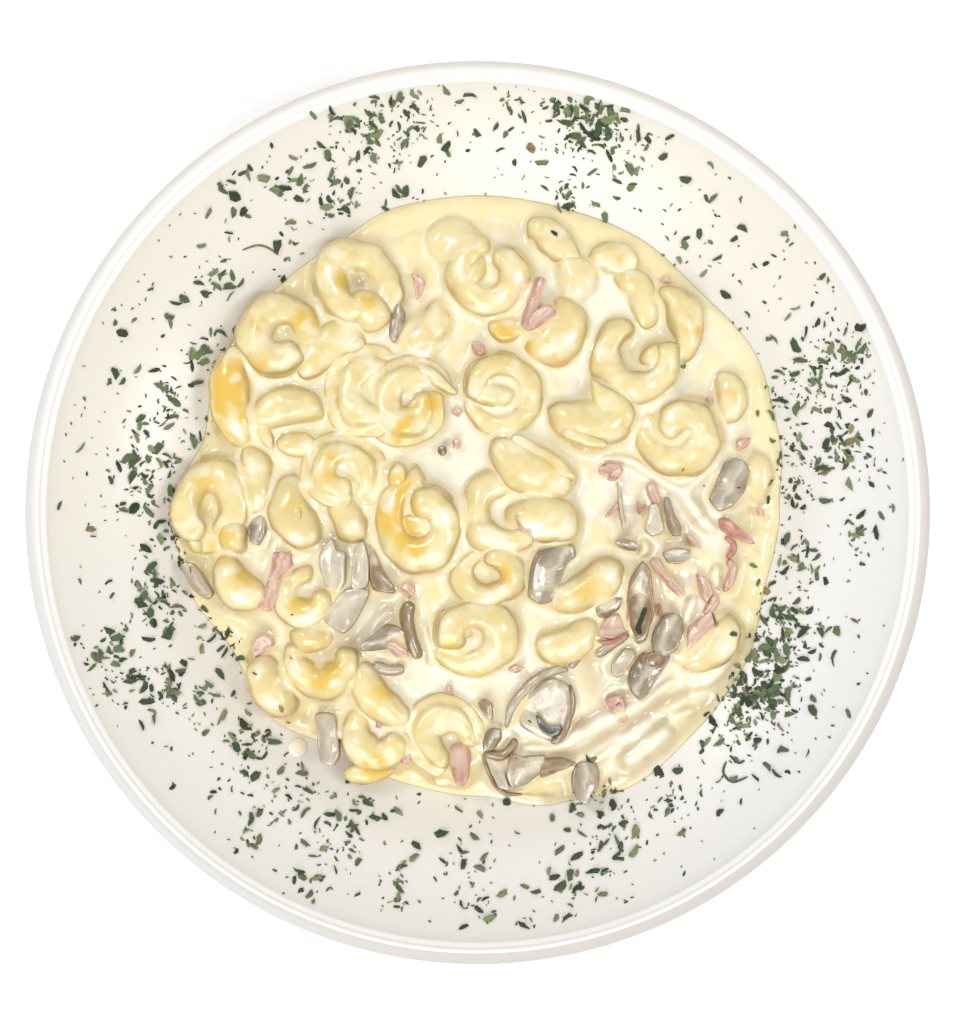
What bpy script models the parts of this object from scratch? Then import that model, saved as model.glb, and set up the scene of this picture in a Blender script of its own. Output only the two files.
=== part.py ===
"""A bowl of cappelletti in white cream sauce.

A round, shallow pasta bowl, called the plate here, stands on its foot ring. A shallow pool of
cream lies in it, round a heap of small curled cappelletti with mushroom slices and strips of ham
between them. Dried parsley is scattered on the plate's wide sloping wall.

Units are metres, +Z is up, and the origin is the middle of the foot ring on the table.
"""
import math
import random
from collections import namedtuple

import bmesh
import bpy
from mathutils import Matrix, Vector

MM = 0.001

# Plate, 280 mm across: a flat well, a parabolic wall up to a rounded lip, and a foot ring.
WELL_RADIUS = 70 * MM
WELL_HEIGHT = 6 * MM
WALL_END = 132.5 * MM
WALL_RISE = 28.5 * MM
WALL_THICKNESS = 4.5 * MM
FOOT_OUTER = 85 * MM
FOOT_INNER = 81 * MM
FOOT_RECESS = 2 * MM
PLATE_STEPS = 48
INSIDE_STEPS = (0, 70, 83, 96, 108, 120, 132.5)
OUTSIDE_STEPS = (130, 116, 102, 89)
# Section of the lip, from the wall's end over its crest and down outside: distance out and height.
LIP_SECTION = ((134.6, 37.6), (136.2, 38.8), (138.6, 38.2), (140.0, 36.2), (139.4, 33.8))
FOOT_ROUND = 1.5 * MM

# Food: how it lies in the plate, and the clearances between neighbouring solids.
FLOOR_GAP = 0.6 * MM
TOUCH_GAP = 0.3 * MM
FOOD_SEGMENTS = 36
CREAM_EDGE = 2.1 * MM
HEAP_EDGE_TOP = 15 * MM
HEAP_CROWN = 3 * MM
HEAP_REACH = 92 * MM

# The heap's core is a ball squashed flat: how far its sides are pushed out to the outline, and
# how flat its top and bottom are.
CORE_LAYERS = 8
CORE_FILL = 1.05
CORE_FLATNESS = 1.3

# Outer edge of the cream pool, and the width of bare cream between it and the heap, both in
# millimetres every 15 degrees from +X.
POOL_EDGE = (97.8, 100.7, 103.3, 101.4, 103.0, 102.4, 102.7, 102.4, 98.5, 98.0, 97.0, 92.6,
             99.4, 96.8, 91.6, 94.5, 89.6, 91.3, 92.3, 97.8, 101.4, 99.8, 99.4, 96.2)
POOL_BAND = (8.0, 8.0, 8.0, 9.0, 10.0, 10.0, 10.0, 8.0, 5.0, 4.0, 4.0, 4.0,
             4.0, 4.0, 4.0, 4.0, 4.0, 4.5, 5.0, 5.5, 6.0, 6.5, 7.0, 7.5)
# Corners of the cream ring's section: share of the way out, and share of the way up. Its top
# falls from the heap's edge to the shore, slowly at first.
POOL_SECTION = ((1.0, 0.45), (0.9, 1.0), (0.45, 1.0), (0.0, 1.0), (0.0, 0.0), (0.45, 0.0), (0.92, 0.0))
POOL_FALL = 1.6

# Cappelletti: a filled belly curled round, with the thin brim of the folded dough outside it.
# The brim is shorter on a belly thinner than the full one, and the belly tapers to its ends. A
# piece curled into a ring rises along its length, so that one end lies on the other.
BRIM_LENGTH = 2.6 * MM
BRIM_THICKNESS = 1.4 * MM
END_TAPER = 0.55
END_TAPER_POWER = 2.4
STATION_ARC = 34
RING_CURL = 300
RING_RISE = 1.6 * MM
FULL_BELLY = 5 * MM

# x, y: middle as seen from above. turn: direction of the gap between the two ends. curl: degrees
# of arc. reach: half the width. belly: half the thickness. flare: slope of the brim. stretch:
# length along turn over width. tilt, lean: tipped by tilt towards lean. lift: above the core.
# wind: how far the second end winds in. Lengths are in millimetres and angles in degrees.
Cappelletto = namedtuple("Cappelletto", "x y turn curl reach belly flare stretch tilt lean lift wind")
CAPPELLETTI = (
    Cappelletto(-38.4, 72.9, -62, 345, 14.1, 4.9, 15, 1.18, 6, 110, 2.6, 0.12),
    Cappelletto(-63.3, 56.1, -45, 335, 14.3, 5.3, 15, 1.08, 8, 140, 2.8, 0.10),
    Cappelletto(-79.0, 36.4, 5, 90, 16.4, 5.7, 30, 1.00, 10, 180, 2.4, 0.00),
    Cappelletto(-46.8, 51.2, -55, 70, 13.2, 6.1, 35, 1.00, 4, 60, 1.6, 0.00),
    Cappelletto(-60.6, 28.6, 5, 290, 13.3, 5.0, 20, 0.98, 6, 150, 2.0, 0.05),
    Cappelletto(-38.6, 37.3, 0, 200, 13.1, 4.8, 15, 1.00, 8, 180, 1.4, 0.00),
    Cappelletto(-22.4, 33.8, 18, 345, 14.7, 5.2, 12, 1.00, 4, 190, 2.8, 0.20),
    Cappelletto(-42.8, 11.9, -62, 320, 13.5, 5.1, 12, 0.98, 5, 100, 2.2, 0.15),
    Cappelletto(-41.6, -1.4, 20, 50, 10.8, 5.1, 30, 1.00, 0, 0, 2.0, 0.00),
    Cappelletto(-70.4, 9.0, 180, 55, 11.4, 5.1, 30, 1.00, 0, 0, 1.6, 0.00),
    Cappelletto(-58.6, -0.9, 18, 70, 13.6, 6.5, 30, 1.00, 4, 190, 2.2, 0.00),
    Cappelletto(-85.4, 0.4, -105, 340, 13.1, 4.7, 15, 1.32, 5, 180, 2.2, 0.15),
    Cappelletto(-78.2, -8.8, 0, 40, 6.2, 4.5, 40, 1.00, 0, 0, 2.2, 0.00),
    Cappelletto(-75.4, -23.3, 45, 95, 11.4, 5.5, 30, 1.00, 6, 230, 1.8, 0.00),
    Cappelletto(-55.5, -28.3, 45, 250, 10.5, 4.3, 20, 1.05, 5, 230, 2.0, 0.05),
    Cappelletto(-19.3, -4.4, 95, 350, 15.1, 5.1, 12, 1.16, 5, 270, 2.8, 0.28),
    Cappelletto(7.7, 35.9, 205, 345, 14.5, 5.3, 12, 1.00, 5, 0, 2.6, 0.36),
    Cappelletto(3.1, 74.9, 80, 310, 14.5, 5.4, 15, 1.00, 5, 270, 2.4, 0.16),
    Cappelletto(-8.5, 87.2, -75, 50, 8.2, 5.5, 40, 1.00, 4, 90, 1.0, 0.00),
    Cappelletto(24.4, 86.0, 220, 60, 11.0, 5.3, 35, 1.00, 4, 40, 1.6, 0.00),
    Cappelletto(31.9, 74.3, 200, 40, 6.4, 4.7, 40, 1.00, 0, 0, 1.0, 0.00),
    Cappelletto(43.6, 80.8, -105, 60, 9.0, 5.5, 35, 1.00, 4, 80, 1.4, 0.00),
    Cappelletto(51.2, 67.7, 210, 100, 11.6, 4.9, 25, 1.00, 5, 40, 1.6, 0.00),
    Cappelletto(66.0, 59.2, 192, 130, 12.8, 5.3, 20, 1.00, 6, 10, 2.0, 0.00),
    Cappelletto(27.1, 56.6, 150, 130, 12.8, 5.3, 25, 1.00, 5, 320, 1.4, 0.00),
    Cappelletto(9.1, 57.2, 90, 40, 6.2, 4.1, 40, 1.00, 0, 0, 1.4, 0.00),
    Cappelletto(50.1, 47.6, 62, 255, 15.3, 5.3, 20, 1.00, 5, 250, 2.6, 0.08),
    Cappelletto(36.2, 29.7, 90, 330, 15.3, 5.5, 20, 0.90, 5, 90, 2.6, 0.22),
    Cappelletto(63.8, 22.1, 150, 350, 14.1, 5.2, 15, 1.00, 5, 300, 2.4, 0.38),
    Cappelletto(81.4, 35.6, 180, 45, 9.4, 5.1, 35, 1.00, 4, 0, 1.2, 0.00),
    Cappelletto(17.6, 12.7, 62, 80, 15.4, 6.3, 45, 1.00, 6, 240, 2.4, 0.00),
    Cappelletto(5.6, -1.6, 15, 215, 13.9, 4.7, 20, 1.00, 5, 200, 2.2, 0.00),
    Cappelletto(20.4, -3.4, -95, 60, 12.6, 6.3, 35, 1.00, 4, 90, 1.4, 0.00),
    Cappelletto(3.5, -22.4, 100, 320, 13.3, 4.9, 20, 0.80, 5, 270, 2.6, 0.10),
    Cappelletto(-0.3, -40.9, 200, 340, 13.3, 5.0, 15, 1.14, 4, 270, 2.4, 0.18),
    Cappelletto(34.9, -24.3, 122, 60, 14.0, 6.3, 40, 1.00, 4, 300, 2.0, 0.00),
    Cappelletto(28.4, -42.4, 115, 50, 11.2, 6.1, 40, 1.00, 4, 300, 2.0, 0.00),
    Cappelletto(-50.0, -51.9, 85, 190, 11.5, 4.7, 20, 1.00, 6, 270, 1.8, 0.00),
    Cappelletto(-65.6, -56.2, 30, 55, 11.2, 6.3, 35, 1.00, 5, 210, 1.6, 0.00),
    Cappelletto(-30.8, -59.0, 42, 75, 13.0, 5.7, 35, 1.00, 5, 220, 2.2, 0.00),
    Cappelletto(-32.6, -73.6, 60, 180, 11.1, 4.8, 20, 1.00, 5, 250, 2.0, 0.00),
    Cappelletto(-10.3, -71.6, -50, 245, 12.7, 4.7, 18, 1.10, 5, 140, 2.4, 0.05),
    Cappelletto(73.2, -43.4, 128, 60, 12.4, 5.5, 35, 1.00, 4, 310, 1.6, 0.00),
    Cappelletto(85.6, 11.0, 180, 45, 8.4, 4.7, 35, 1.00, 4, 0, 0.6, 0.00),
    Cappelletto(-16.6, 58.2, 140, 45, 8.6, 4.9, 40, 1.00, 0, 0, 0.8, 0.00),
    Cappelletto(-52.4, -41.2, 100, 40, 8.0, 4.9, 40, 1.00, 0, 0, 1.0, 0.00),
    Cappelletto(53.0, -71.0, 125, 80, 13.0, 5.1, 40, 1.00, 4, 300, 0.8, 0.00),
)

# Mushroom slices and ham strips: x, y, turn of the long side, length, width and thickness,
# in millimetres and degrees. They lie on the heap's core.
Topping = namedtuple("Topping", "x y turn length width thickness")
MUSHROOMS = (
    Topping(-25.6, 60.0, 80, 12.5, 6.0, 5.0),
    Topping(78.4, 7.8, 58, 19.0, 9.0, 5.4),
    Topping(-70.4, -5.6, 98, 12.5, 6.4, 4.6),
    Topping(-46.4, -15.6, 95, 17.0, 6.0, 6.0),
    Topping(-38.8, -18.4, 95, 15.0, 6.6, 6.6),
    Topping(-30.8, -20.0, 108, 16.0, 6.2, 5.4),
    Topping(-42.2, -33.2, 48, 14.6, 8.6, 6.0),
    Topping(-26.6, -38.0, 42, 19.0, 11.0, 6.0),
    Topping(-86.0, -22.6, -62, 12.0, 7.0, 4.2),
    Topping(-45.6, -73.2, -84, 14.0, 7.4, 5.0),
    Topping(22.6, -21.0, 52, 17.6, 8.6, 6.2),
    Topping(51.6, -29.6, 92, 25.0, 8.0, 6.4),
    Topping(58.8, -49.0, 58, 25.0, 11.0, 6.0),
    Topping(40.8, -46.6, 30, 15.0, 6.4, 5.0),
    Topping(21.4, -66.0, 50, 21.0, 14.0, 6.0),
    Topping(17.0, -83.0, 12, 24.0, 8.4, 5.0),
    Topping(37.0, -84.0, 95, 11.0, 8.6, 4.2),
)
HAM = (
    Topping(-18.9, 71.6, -78, 10.0, 4.4, 3.0),
    Topping(17.6, 63.8, 62, 13.0, 7.6, 3.4),
    Topping(-65.0, -24.0, 80, 19.0, 4.6, 3.6),
    Topping(-68.0, -43.2, 40, 8.6, 6.0, 3.2),
    Topping(-20.6, -75.8, -84, 11.0, 4.2, 3.2),
    Topping(-3.6, -80.2, -78, 14.0, 5.2, 3.4),
    Topping(44.6, -62.6, 95, 9.0, 7.0, 3.2),
    Topping(82.6, -7.0, -42, 13.0, 4.6, 3.2),
    Topping(72.4, -27.6, 100, 11.6, 5.8, 3.2),
    Topping(61.4, -22.0, -50, 11.0, 4.0, 3.0),
)
# Section of a topping, as (share of its half width, share of its height), and of the room for it.
TOPPING_PROFILE = ((0.82, 0.0), (1.0, 0.45), (0.74, 1.0))
ROOM_PROFILE = ((1.0, 0.0), (1.0, 1.0))
CORNER_REACH = 1.06  # corners stand this much outside the oval of the named length and width
REST_GAP = 0.5 * MM
ROOM_HEIGHT = 20 * MM
MUSHROOM_SIDES = 8
HAM_SIDES = 6

# Parsley: middles of the clumps that show on the wall, in millimetres, and how many large flakes
# each has. The loose flakes between them are drawn at random on the wall.
PARSLEY_CLUMPS = (
    (-32, 118, 4), (37, 123, 5), (51, 112, 2), (28, 103, 2), (98, 82, 1), (117, 78, 1),
    (116, 46, 2), (112, 36, 1), (118, 18, 2), (122, -6, 1), (103, -38, 1), (98, -50, 1),
    (92, -64, 7), (82, -82, 3), (62, -91, 2), (38, -117, 2), (16, -122, 2), (-3, -115, 1),
    (-45, -106, 2), (-58, -116, 2), (-73, -104, 2), (-72, -85, 3), (-82, -85, 2), (-82, -41, 3),
    (-104, -57, 2), (-118, -42, 2), (-105, 2, 1), (-107, 26, 2), (-102, 42, 2), (-107, 60, 2),
    (-87, 79, 1), (-79, 103, 1), (-60, 106, 1), (-42, 101, 2),
)
CLUMP_SPREAD = 5.5 * MM
FLAKE_SIZE = (1.7 * MM, 3.3 * MM)
FLAKE_THICKNESS = 0.8 * MM
FLAKE_PROUD = 0.3 * MM
FLAKE_SIDES = 5
FLAKE_RAGGED = (0.6, 1.15)
FLAKE_NARROW = 0.6
FLAKE_TOP = 0.9
FLAKE_SHORE = 2 * MM
FLAKE_SEED = 11

COLOURS = {
    "dish": (0.93, 0.92, 0.89),
    "cream_sauce": (0.96, 0.91, 0.74),
    "cappelletti_heap": (0.93, 0.83, 0.56),
    "mushroom": (0.60, 0.56, 0.50),
    "ham": (0.84, 0.58, 0.56),
}


def clear_scene():
    """Remove every object of the open file."""
    for old in list(bpy.data.objects):
        bpy.data.objects.remove(old, do_unlink=True)


def make_collection(name):
    """A new collection under the scene's own."""
    group = bpy.data.collections.new(name)
    bpy.context.scene.collection.children.link(group)
    return group


def make_material(name, colour, roughness):
    """A plain glossy or matt surface of one colour."""
    material = bpy.data.materials.new(name)
    material.use_nodes = True
    shader = material.node_tree.nodes["Principled BSDF"]
    shader.inputs["Base Color"].default_value = (*colour, 1.0)
    shader.inputs["Roughness"].default_value = roughness
    shader.inputs["Metallic"].default_value = 0.0
    return material


def add_mesh(name, shape, group, material=None):
    """Put a finished bmesh into a collection as a named object."""
    bmesh.ops.recalc_face_normals(shape, faces=shape.faces)
    bmesh.ops.triangulate(shape, faces=shape.faces)
    mesh = bpy.data.meshes.new(name)
    shape.to_mesh(mesh)
    shape.free()
    thing = bpy.data.objects.new(name, mesh)
    group.objects.link(thing)
    if material:
        mesh.materials.append(material)
    return thing


def around(table, angle):
    """Value in metres at an angle, from millimetres listed at even steps round the circle."""
    place = (angle / math.tau) % 1.0 * len(table)
    index = int(place)
    blend = place - index
    blend = blend * blend * (3 - 2 * blend)
    first = table[index % len(table)]
    second = table[(index + 1) % len(table)]
    return (first + (second - first) * blend) * MM


def plate_inside(radius):
    """Height of the plate's inner face."""
    run = max(0.0, radius - WELL_RADIUS) / (WALL_END - WELL_RADIUS)
    return WELL_HEIGHT + WALL_RISE * run ** 2


def plate_slope(radius):
    """Slope of the plate's inner face, in radians."""
    run = max(0.0, radius - WELL_RADIUS) / (WALL_END - WELL_RADIUS)
    return math.atan(2 * WALL_RISE * run / (WALL_END - WELL_RADIUS))


def heap_edge(angle):
    """Outline of the heap's core, where the cream meets it."""
    return around(POOL_EDGE, angle) - around(POOL_BAND, angle)


def core_top(x, y):
    """Height of the heap's core, which is bare of pasta: a low dome."""
    share = min(1.0, math.hypot(x, y) / HEAP_REACH)
    return HEAP_EDGE_TOP + HEAP_CROWN * (1 - share ** 2)


def plate_profile():
    """Section of the plate from its middle over the lip and down its outer side to the foot."""
    inside = [(step * MM, plate_inside(step * MM)) for step in INSIDE_STEPS]
    lip = [(out * MM, height * MM) for out, height in LIP_SECTION]
    outside = []
    for step in OUTSIDE_STEPS:
        slope = plate_slope(step * MM)
        outside.append((step * MM + WALL_THICKNESS * math.sin(slope),
                        plate_inside(step * MM) - WALL_THICKNESS * math.cos(slope)))
    foot = [(FOOT_OUTER + FOOT_ROUND, FOOT_ROUND), (FOOT_OUTER, 0.0), (FOOT_INNER, 0.0),
            (FOOT_INNER - FOOT_ROUND, FOOT_RECESS), (0.0, FOOT_RECESS)]
    return inside + lip + outside + foot


def make_plate(group, material):
    """Turn the plate's section round the vertical axis."""
    shape = bmesh.new()
    corners = [shape.verts.new((r, 0.0, z)) for r, z in plate_profile()]
    for first, second in zip(corners, corners[1:]):
        shape.edges.new((first, second))
    mesh = bpy.data.meshes.new("dish")
    shape.to_mesh(mesh)
    shape.free()
    plate = bpy.data.objects.new("dish", mesh)
    group.objects.link(plate)
    mesh.materials.append(material)
    turn = plate.modifiers.new("turn", "SCREW")
    turn.axis = "Z"
    turn.steps = PLATE_STEPS
    turn.render_steps = PLATE_STEPS
    turn.use_merge_vertices = True
    turn.merge_threshold = 0.05 * MM
    return plate


def make_core(group):
    """Bare core of the heap: a squashed ball with the pool's outline, lying in the well."""
    shape = bmesh.new()
    bmesh.ops.create_uvsphere(shape, u_segments=FOOD_SEGMENTS, v_segments=CORE_LAYERS, radius=1.0)
    for vert in shape.verts:
        x, y, z = vert.co
        angle = math.atan2(y, x)
        reach = (heap_edge(angle) + TOUCH_GAP) * min(1.0, math.hypot(x, y) * CORE_FILL)
        place = Vector((reach * math.cos(angle), reach * math.sin(angle), 0.0))
        low = plate_inside(reach) + FLOOR_GAP
        high = core_top(place.x, place.y)
        place.z = low + (high - low) * min(1.0, max(0.0, 0.5 + CORE_FLATNESS * z))
        vert.co = place
    return add_mesh("core", shape, group)


def make_pool(name, group, material, grow=0.0):
    """Ring of cream round the heap, from its core to the pool's own edge."""
    shape = bmesh.new()
    rings = []
    for step in range(FOOD_SEGMENTS):
        angle = math.tau * step / FOOD_SEGMENTS
        inner = heap_edge(angle) + TOUCH_GAP - grow
        outer = around(POOL_EDGE, angle) + grow
        ring = []
        for out, up in POOL_SECTION:
            reach = inner + (outer - inner) * out
            low = plate_inside(reach) + FLOOR_GAP - grow
            shore = plate_inside(outer) + FLOOR_GAP + CREAM_EDGE
            high = HEAP_EDGE_TOP + (shore - HEAP_EDGE_TOP) * out ** POOL_FALL + grow
            place = (reach * math.cos(angle), reach * math.sin(angle), low + (high - low) * up)
            ring.append(shape.verts.new(place))
        rings.append(ring)
    for ring, after in zip(rings, rings[1:] + rings[:1]):
        for index, corner in enumerate(ring):
            behind = index - 1
            shape.faces.new((ring[behind], after[behind], after[index], corner))
    return add_mesh(name, shape, group, material)


def brim_section(belly):
    """Corners of the section of a cappelletto, as (along the brim, across it)."""
    tip = belly + BRIM_LENGTH * belly / FULL_BELLY
    edge = BRIM_THICKNESS / 2
    return ((tip, -edge), (tip, edge), (belly * 0.86, belly * 0.56), (belly * 0.1, belly),
            (-belly * 0.78, belly * 0.66), (-belly * 0.78, -belly * 0.66), (belly * 0.1, -belly),
            (belly * 0.86, -belly * 0.56))


def curl_path(piece):
    """Places along a cappelletto: direction from its middle, distance, belly and height."""
    half = math.radians(piece.curl / 2)
    end_belly = piece.belly * (1 - END_TAPER)
    if piece.curl < 180:
        spine = (piece.reach - end_belly) / math.sin(half) * MM
    else:
        spine = (piece.reach - piece.belly) * MM - BRIM_LENGTH
    stations = max(5, round(piece.curl / STATION_ARC) + 1)
    for index in range(stations):
        share = 2 * index / (stations - 1) - 1
        angle = math.radians(piece.turn + 180) + share * half
        distance = spine * (1 - piece.wind * (share + 1))
        belly = piece.belly * MM * (1 - END_TAPER * abs(share) ** END_TAPER_POWER)
        rise = RING_RISE * share if piece.curl > RING_CURL else 0.0
        yield angle, distance, belly, rise


def curl_rings(piece):
    """Rings of corners of one cappelletto, lying flat round its own middle."""
    flare = math.radians(piece.flare)
    turn = math.radians(piece.turn)
    along = Vector((math.cos(turn), math.sin(turn), 0.0))
    rings = []
    for angle, distance, belly, rise in curl_path(piece):
        out = Vector((math.cos(angle), math.sin(angle), 0.0))
        brim = out * math.cos(flare) + Vector((0.0, 0.0, math.sin(flare)))
        across = Vector((0.0, 0.0, math.cos(flare))) - out * math.sin(flare)
        ring = []
        for down_brim, over in brim_section(belly):
            place = out * distance + brim * down_brim + across * over
            place.z += rise
            ring.append(place + along * (place.dot(along) * (piece.stretch - 1)))
        rings.append(ring)
    middle = Vector((0.0, 0.0, 0.0))
    for axis in (0, 1):
        reach = [place[axis] for ring in rings for place in ring]
        middle[axis] = (min(reach) + max(reach)) / 2
    return [[place - middle for place in ring] for ring in rings]


def make_cappelletto(piece, group):
    """Loft one filled, curled pasta piece, tipped and set down on the core."""
    shape = bmesh.new()
    lean = math.radians(piece.lean)
    tip_axis = Vector((-math.sin(lean), math.cos(lean), 0.0))
    tip = Matrix.Rotation(math.radians(piece.tilt), 3, tip_axis)
    base = Vector((piece.x * MM, piece.y * MM, 0.0))
    base.z = core_top(base.x, base.y) + piece.lift * MM
    rings = [[shape.verts.new(base + tip @ place) for place in ring] for ring in curl_rings(piece)]
    for ring, after in zip(rings, rings[1:]):
        for index, corner in enumerate(ring):
            behind = index - 1
            shape.faces.new((ring[behind], after[behind], after[index], corner))
    shape.faces.new(rings[0])
    shape.faces.new(reversed(rings[-1]))
    return add_mesh("cappelletto", shape, group)


def make_topping(name, topping, group, material, sides, grow=0.0, tall=0.0):
    """A slice or a strip that lies on the core; grown and made tall, it clears room for itself."""
    shape = bmesh.new()
    turn = math.radians(topping.turn)
    rings = []
    for spread, up in ROOM_PROFILE if tall else TOPPING_PROFILE:
        ring = []
        for side in range(sides):
            angle = math.tau * (side + 0.5) / sides
            along = math.cos(angle) * spread * (topping.length / 2 * MM + grow) * CORNER_REACH
            over = math.sin(angle) * spread * (topping.width / 2 * MM + grow) * CORNER_REACH
            x = topping.x * MM + along * math.cos(turn) - over * math.sin(turn)
            y = topping.y * MM + along * math.sin(turn) + over * math.cos(turn)
            height = topping.thickness * MM + tall
            rest = core_top(x, y) + REST_GAP - grow
            ring.append(shape.verts.new((x, y, rest + height * up)))
        rings.append(ring)
    for ring, after in zip(rings, rings[1:]):
        for index, corner in enumerate(ring):
            behind = index - 1
            shape.faces.new((ring[behind], after[behind], after[index], corner))
    shape.faces.new(rings[0])
    shape.faces.new(reversed(rings[-1]))
    return add_mesh(name, shape, group, material)


def join_pieces(target, pieces, operation):
    """Unite a collection's objects with the target, or cut them out of it, and remove them."""
    joint = target.modifiers.new("join", "BOOLEAN")
    joint.operand_type = "COLLECTION"
    joint.collection = pieces
    joint.operation = operation
    joint.solver = "MANIFOLD"
    bpy.context.view_layer.update()
    evaluated = target.evaluated_get(bpy.context.evaluated_depsgraph_get())
    mesh = bpy.data.meshes.new_from_object(evaluated)
    target.modifiers.clear()
    target.data = mesh
    for piece in list(pieces.objects):
        bpy.data.objects.remove(piece, do_unlink=True)
    bpy.data.collections.remove(pieces)


def keep_largest(thing):
    """Triangulate a joined object and drop the loose scraps and sealed hollows in it."""
    shape = bmesh.new()
    shape.from_mesh(thing.data)
    bmesh.ops.triangulate(shape, faces=shape.faces, ngon_method="EAR_CLIP")
    waiting = set(shape.verts)
    bodies = []
    while waiting:
        body = {waiting.pop()}
        border = list(body)
        while border:
            vert = border.pop()
            for edge in vert.link_edges:
                other = edge.other_vert(vert)
                if other not in body:
                    body.add(other)
                    border.append(other)
        waiting -= body
        bodies.append(body)
    bodies.sort(key=len)
    loose = [vert for body in bodies[:-1] for vert in body]
    bmesh.ops.delete(shape, geom=loose, context="VERTS")
    shape.to_mesh(thing.data)
    shape.free()


def make_flake(radius, angle, size, turn, draw, group):
    """One thin leaf flake that lies on the plate's wall, its lower part in the glaze."""
    slope = plate_slope(radius)
    shape = bmesh.new()
    bmesh.ops.create_cone(shape, cap_ends=True, segments=FLAKE_SIDES, radius1=1.0,
                          radius2=FLAKE_TOP, depth=FLAKE_THICKNESS)
    ragged = [draw.uniform(*FLAKE_RAGGED) for _ in range(FLAKE_SIDES)]
    for vert in shape.verts:
        side = round(math.atan2(vert.co.y, vert.co.x) / math.tau * FLAKE_SIDES) % FLAKE_SIDES
        vert.co.x *= size * ragged[side]
        vert.co.y *= size * ragged[side] * FLAKE_NARROW
    lay = Matrix.Translation((radius * math.cos(angle), radius * math.sin(angle),
                              plate_inside(radius) + FLAKE_PROUD))
    lay @= Matrix.Rotation(angle, 4, "Z")
    lay @= Matrix.Rotation(-slope, 4, "Y")
    lay @= Matrix.Rotation(turn, 4, "Z")
    bmesh.ops.transform(shape, matrix=lay, verts=shape.verts)
    return add_mesh("flake", shape, group)


def make_parsley(group):
    """Scatter the large flakes round the middles of their clumps, clear of the cream."""
    draw = random.Random(FLAKE_SEED)
    for x, y, count in PARSLEY_CLUMPS:
        apart = CLUMP_SPREAD * (0.5 + 0.13 * count) if count > 1 else 0.0
        for number in range(count):
            swing = math.tau * number / count + draw.uniform(-0.4, 0.4)
            size = draw.uniform(*FLAKE_SIZE)
            turn = draw.uniform(0, math.pi)
            place = Vector((x * MM + apart * math.cos(swing), y * MM + apart * math.sin(swing)))
            angle = math.atan2(place.y, place.x)
            shore = around(POOL_EDGE, angle) + size + FLAKE_SHORE
            radius = max(place.length, shore)
            make_flake(radius, angle, size, turn, draw, group)


def smooth(thing, angle=40):
    """Shade round faces smooth and keep the sharp edges."""
    thing.data.shade_smooth()
    thing.data.set_sharp_from_angle(angle=math.radians(angle))


def build():
    """Make the plate and everything on it."""
    clear_scene()
    dish_group = make_collection("bowl_of_cappelletti")
    colours = {name: make_material(name, colour, 0.3) for name, colour in COLOURS.items()}

    plate = make_plate(dish_group, colours["dish"])
    flakes = make_collection("flakes")
    make_parsley(flakes)
    join_pieces(plate, flakes, "UNION")
    keep_largest(plate)

    make_pool("cream_sauce", dish_group, colours["cream_sauce"])

    heap = make_core(dish_group)
    heap.name = "cappelletti_heap"
    heap.data.materials.append(colours["cappelletti_heap"])
    pieces = make_collection("pieces")
    for piece in CAPPELLETTI:
        make_cappelletto(piece, pieces)
    join_pieces(heap, pieces, "UNION")

    room = make_collection("room")
    make_pool("pool_room", room, None, grow=TOUCH_GAP)
    for kind, rows, sides in (("mushroom", MUSHROOMS, MUSHROOM_SIDES), ("ham", HAM, HAM_SIDES)):
        for number, topping in enumerate(rows, 1):
            make_topping(f"{kind}_{number:02d}", topping, dish_group, colours[kind], sides)
            make_topping("room", topping, room, None, sides, grow=TOUCH_GAP, tall=ROOM_HEIGHT)
    join_pieces(heap, room, "DIFFERENCE")
    keep_largest(heap)

    for thing in dish_group.objects:
        smooth(thing)


build()
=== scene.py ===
"""A bowl of cappelletti in cream sauce, dressed for its portrait from above.

Glazed plate, curled pasta, cream, mushroom, ham and dried parsley are each made here as fine
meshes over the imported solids. Lengths are metres; tables are in millimetres and degrees.
"""
import math
import random
from collections import namedtuple

import bpy
import numpy as np
from mathutils import Matrix, Vector, noise


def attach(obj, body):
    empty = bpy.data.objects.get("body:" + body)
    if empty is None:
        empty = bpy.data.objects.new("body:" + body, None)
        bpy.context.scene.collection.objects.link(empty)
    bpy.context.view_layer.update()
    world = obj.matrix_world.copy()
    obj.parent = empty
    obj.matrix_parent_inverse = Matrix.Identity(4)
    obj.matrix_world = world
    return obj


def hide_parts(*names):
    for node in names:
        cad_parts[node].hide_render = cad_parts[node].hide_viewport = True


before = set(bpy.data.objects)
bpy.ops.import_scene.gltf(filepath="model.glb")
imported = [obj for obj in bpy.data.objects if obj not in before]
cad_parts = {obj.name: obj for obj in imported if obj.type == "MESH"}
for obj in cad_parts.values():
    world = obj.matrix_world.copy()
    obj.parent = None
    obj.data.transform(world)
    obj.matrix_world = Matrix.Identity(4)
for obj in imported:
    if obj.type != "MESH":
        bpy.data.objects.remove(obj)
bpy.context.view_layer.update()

MM = 0.001

# ---------------------------------------------------------------- camera and light
CAMERA_TARGET = Vector((0.0029, -0.0024, 0.0388))
CAMERA_DISTANCE = 0.496
CAMERA_ELEVATION = math.radians(86.5)
CAMERA_LENS = 59.74
CAMERA_SENSOR = 36
SKY_STRENGTH = 0.54
LIGHT_TARGET = Vector((0, 0, 0.02))
# Name, place, size, power and colour of each light.
LIGHTS = (
    ("key", (-0.25, -0.85, 1.05), 0.7, 8.5, (1.0, 0.99, 0.97)),
    ("side", (0.85, -0.15, 1.05), 0.35, 4.0, (0.98, 0.99, 1.0)),
    ("back", (-0.7, 0.6, 1.1), 0.35, 4.0, (1.0, 1.0, 1.0)),
)
FLOOR_REACH = 3.0
FLOOR_GLOW = 0.2

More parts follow.
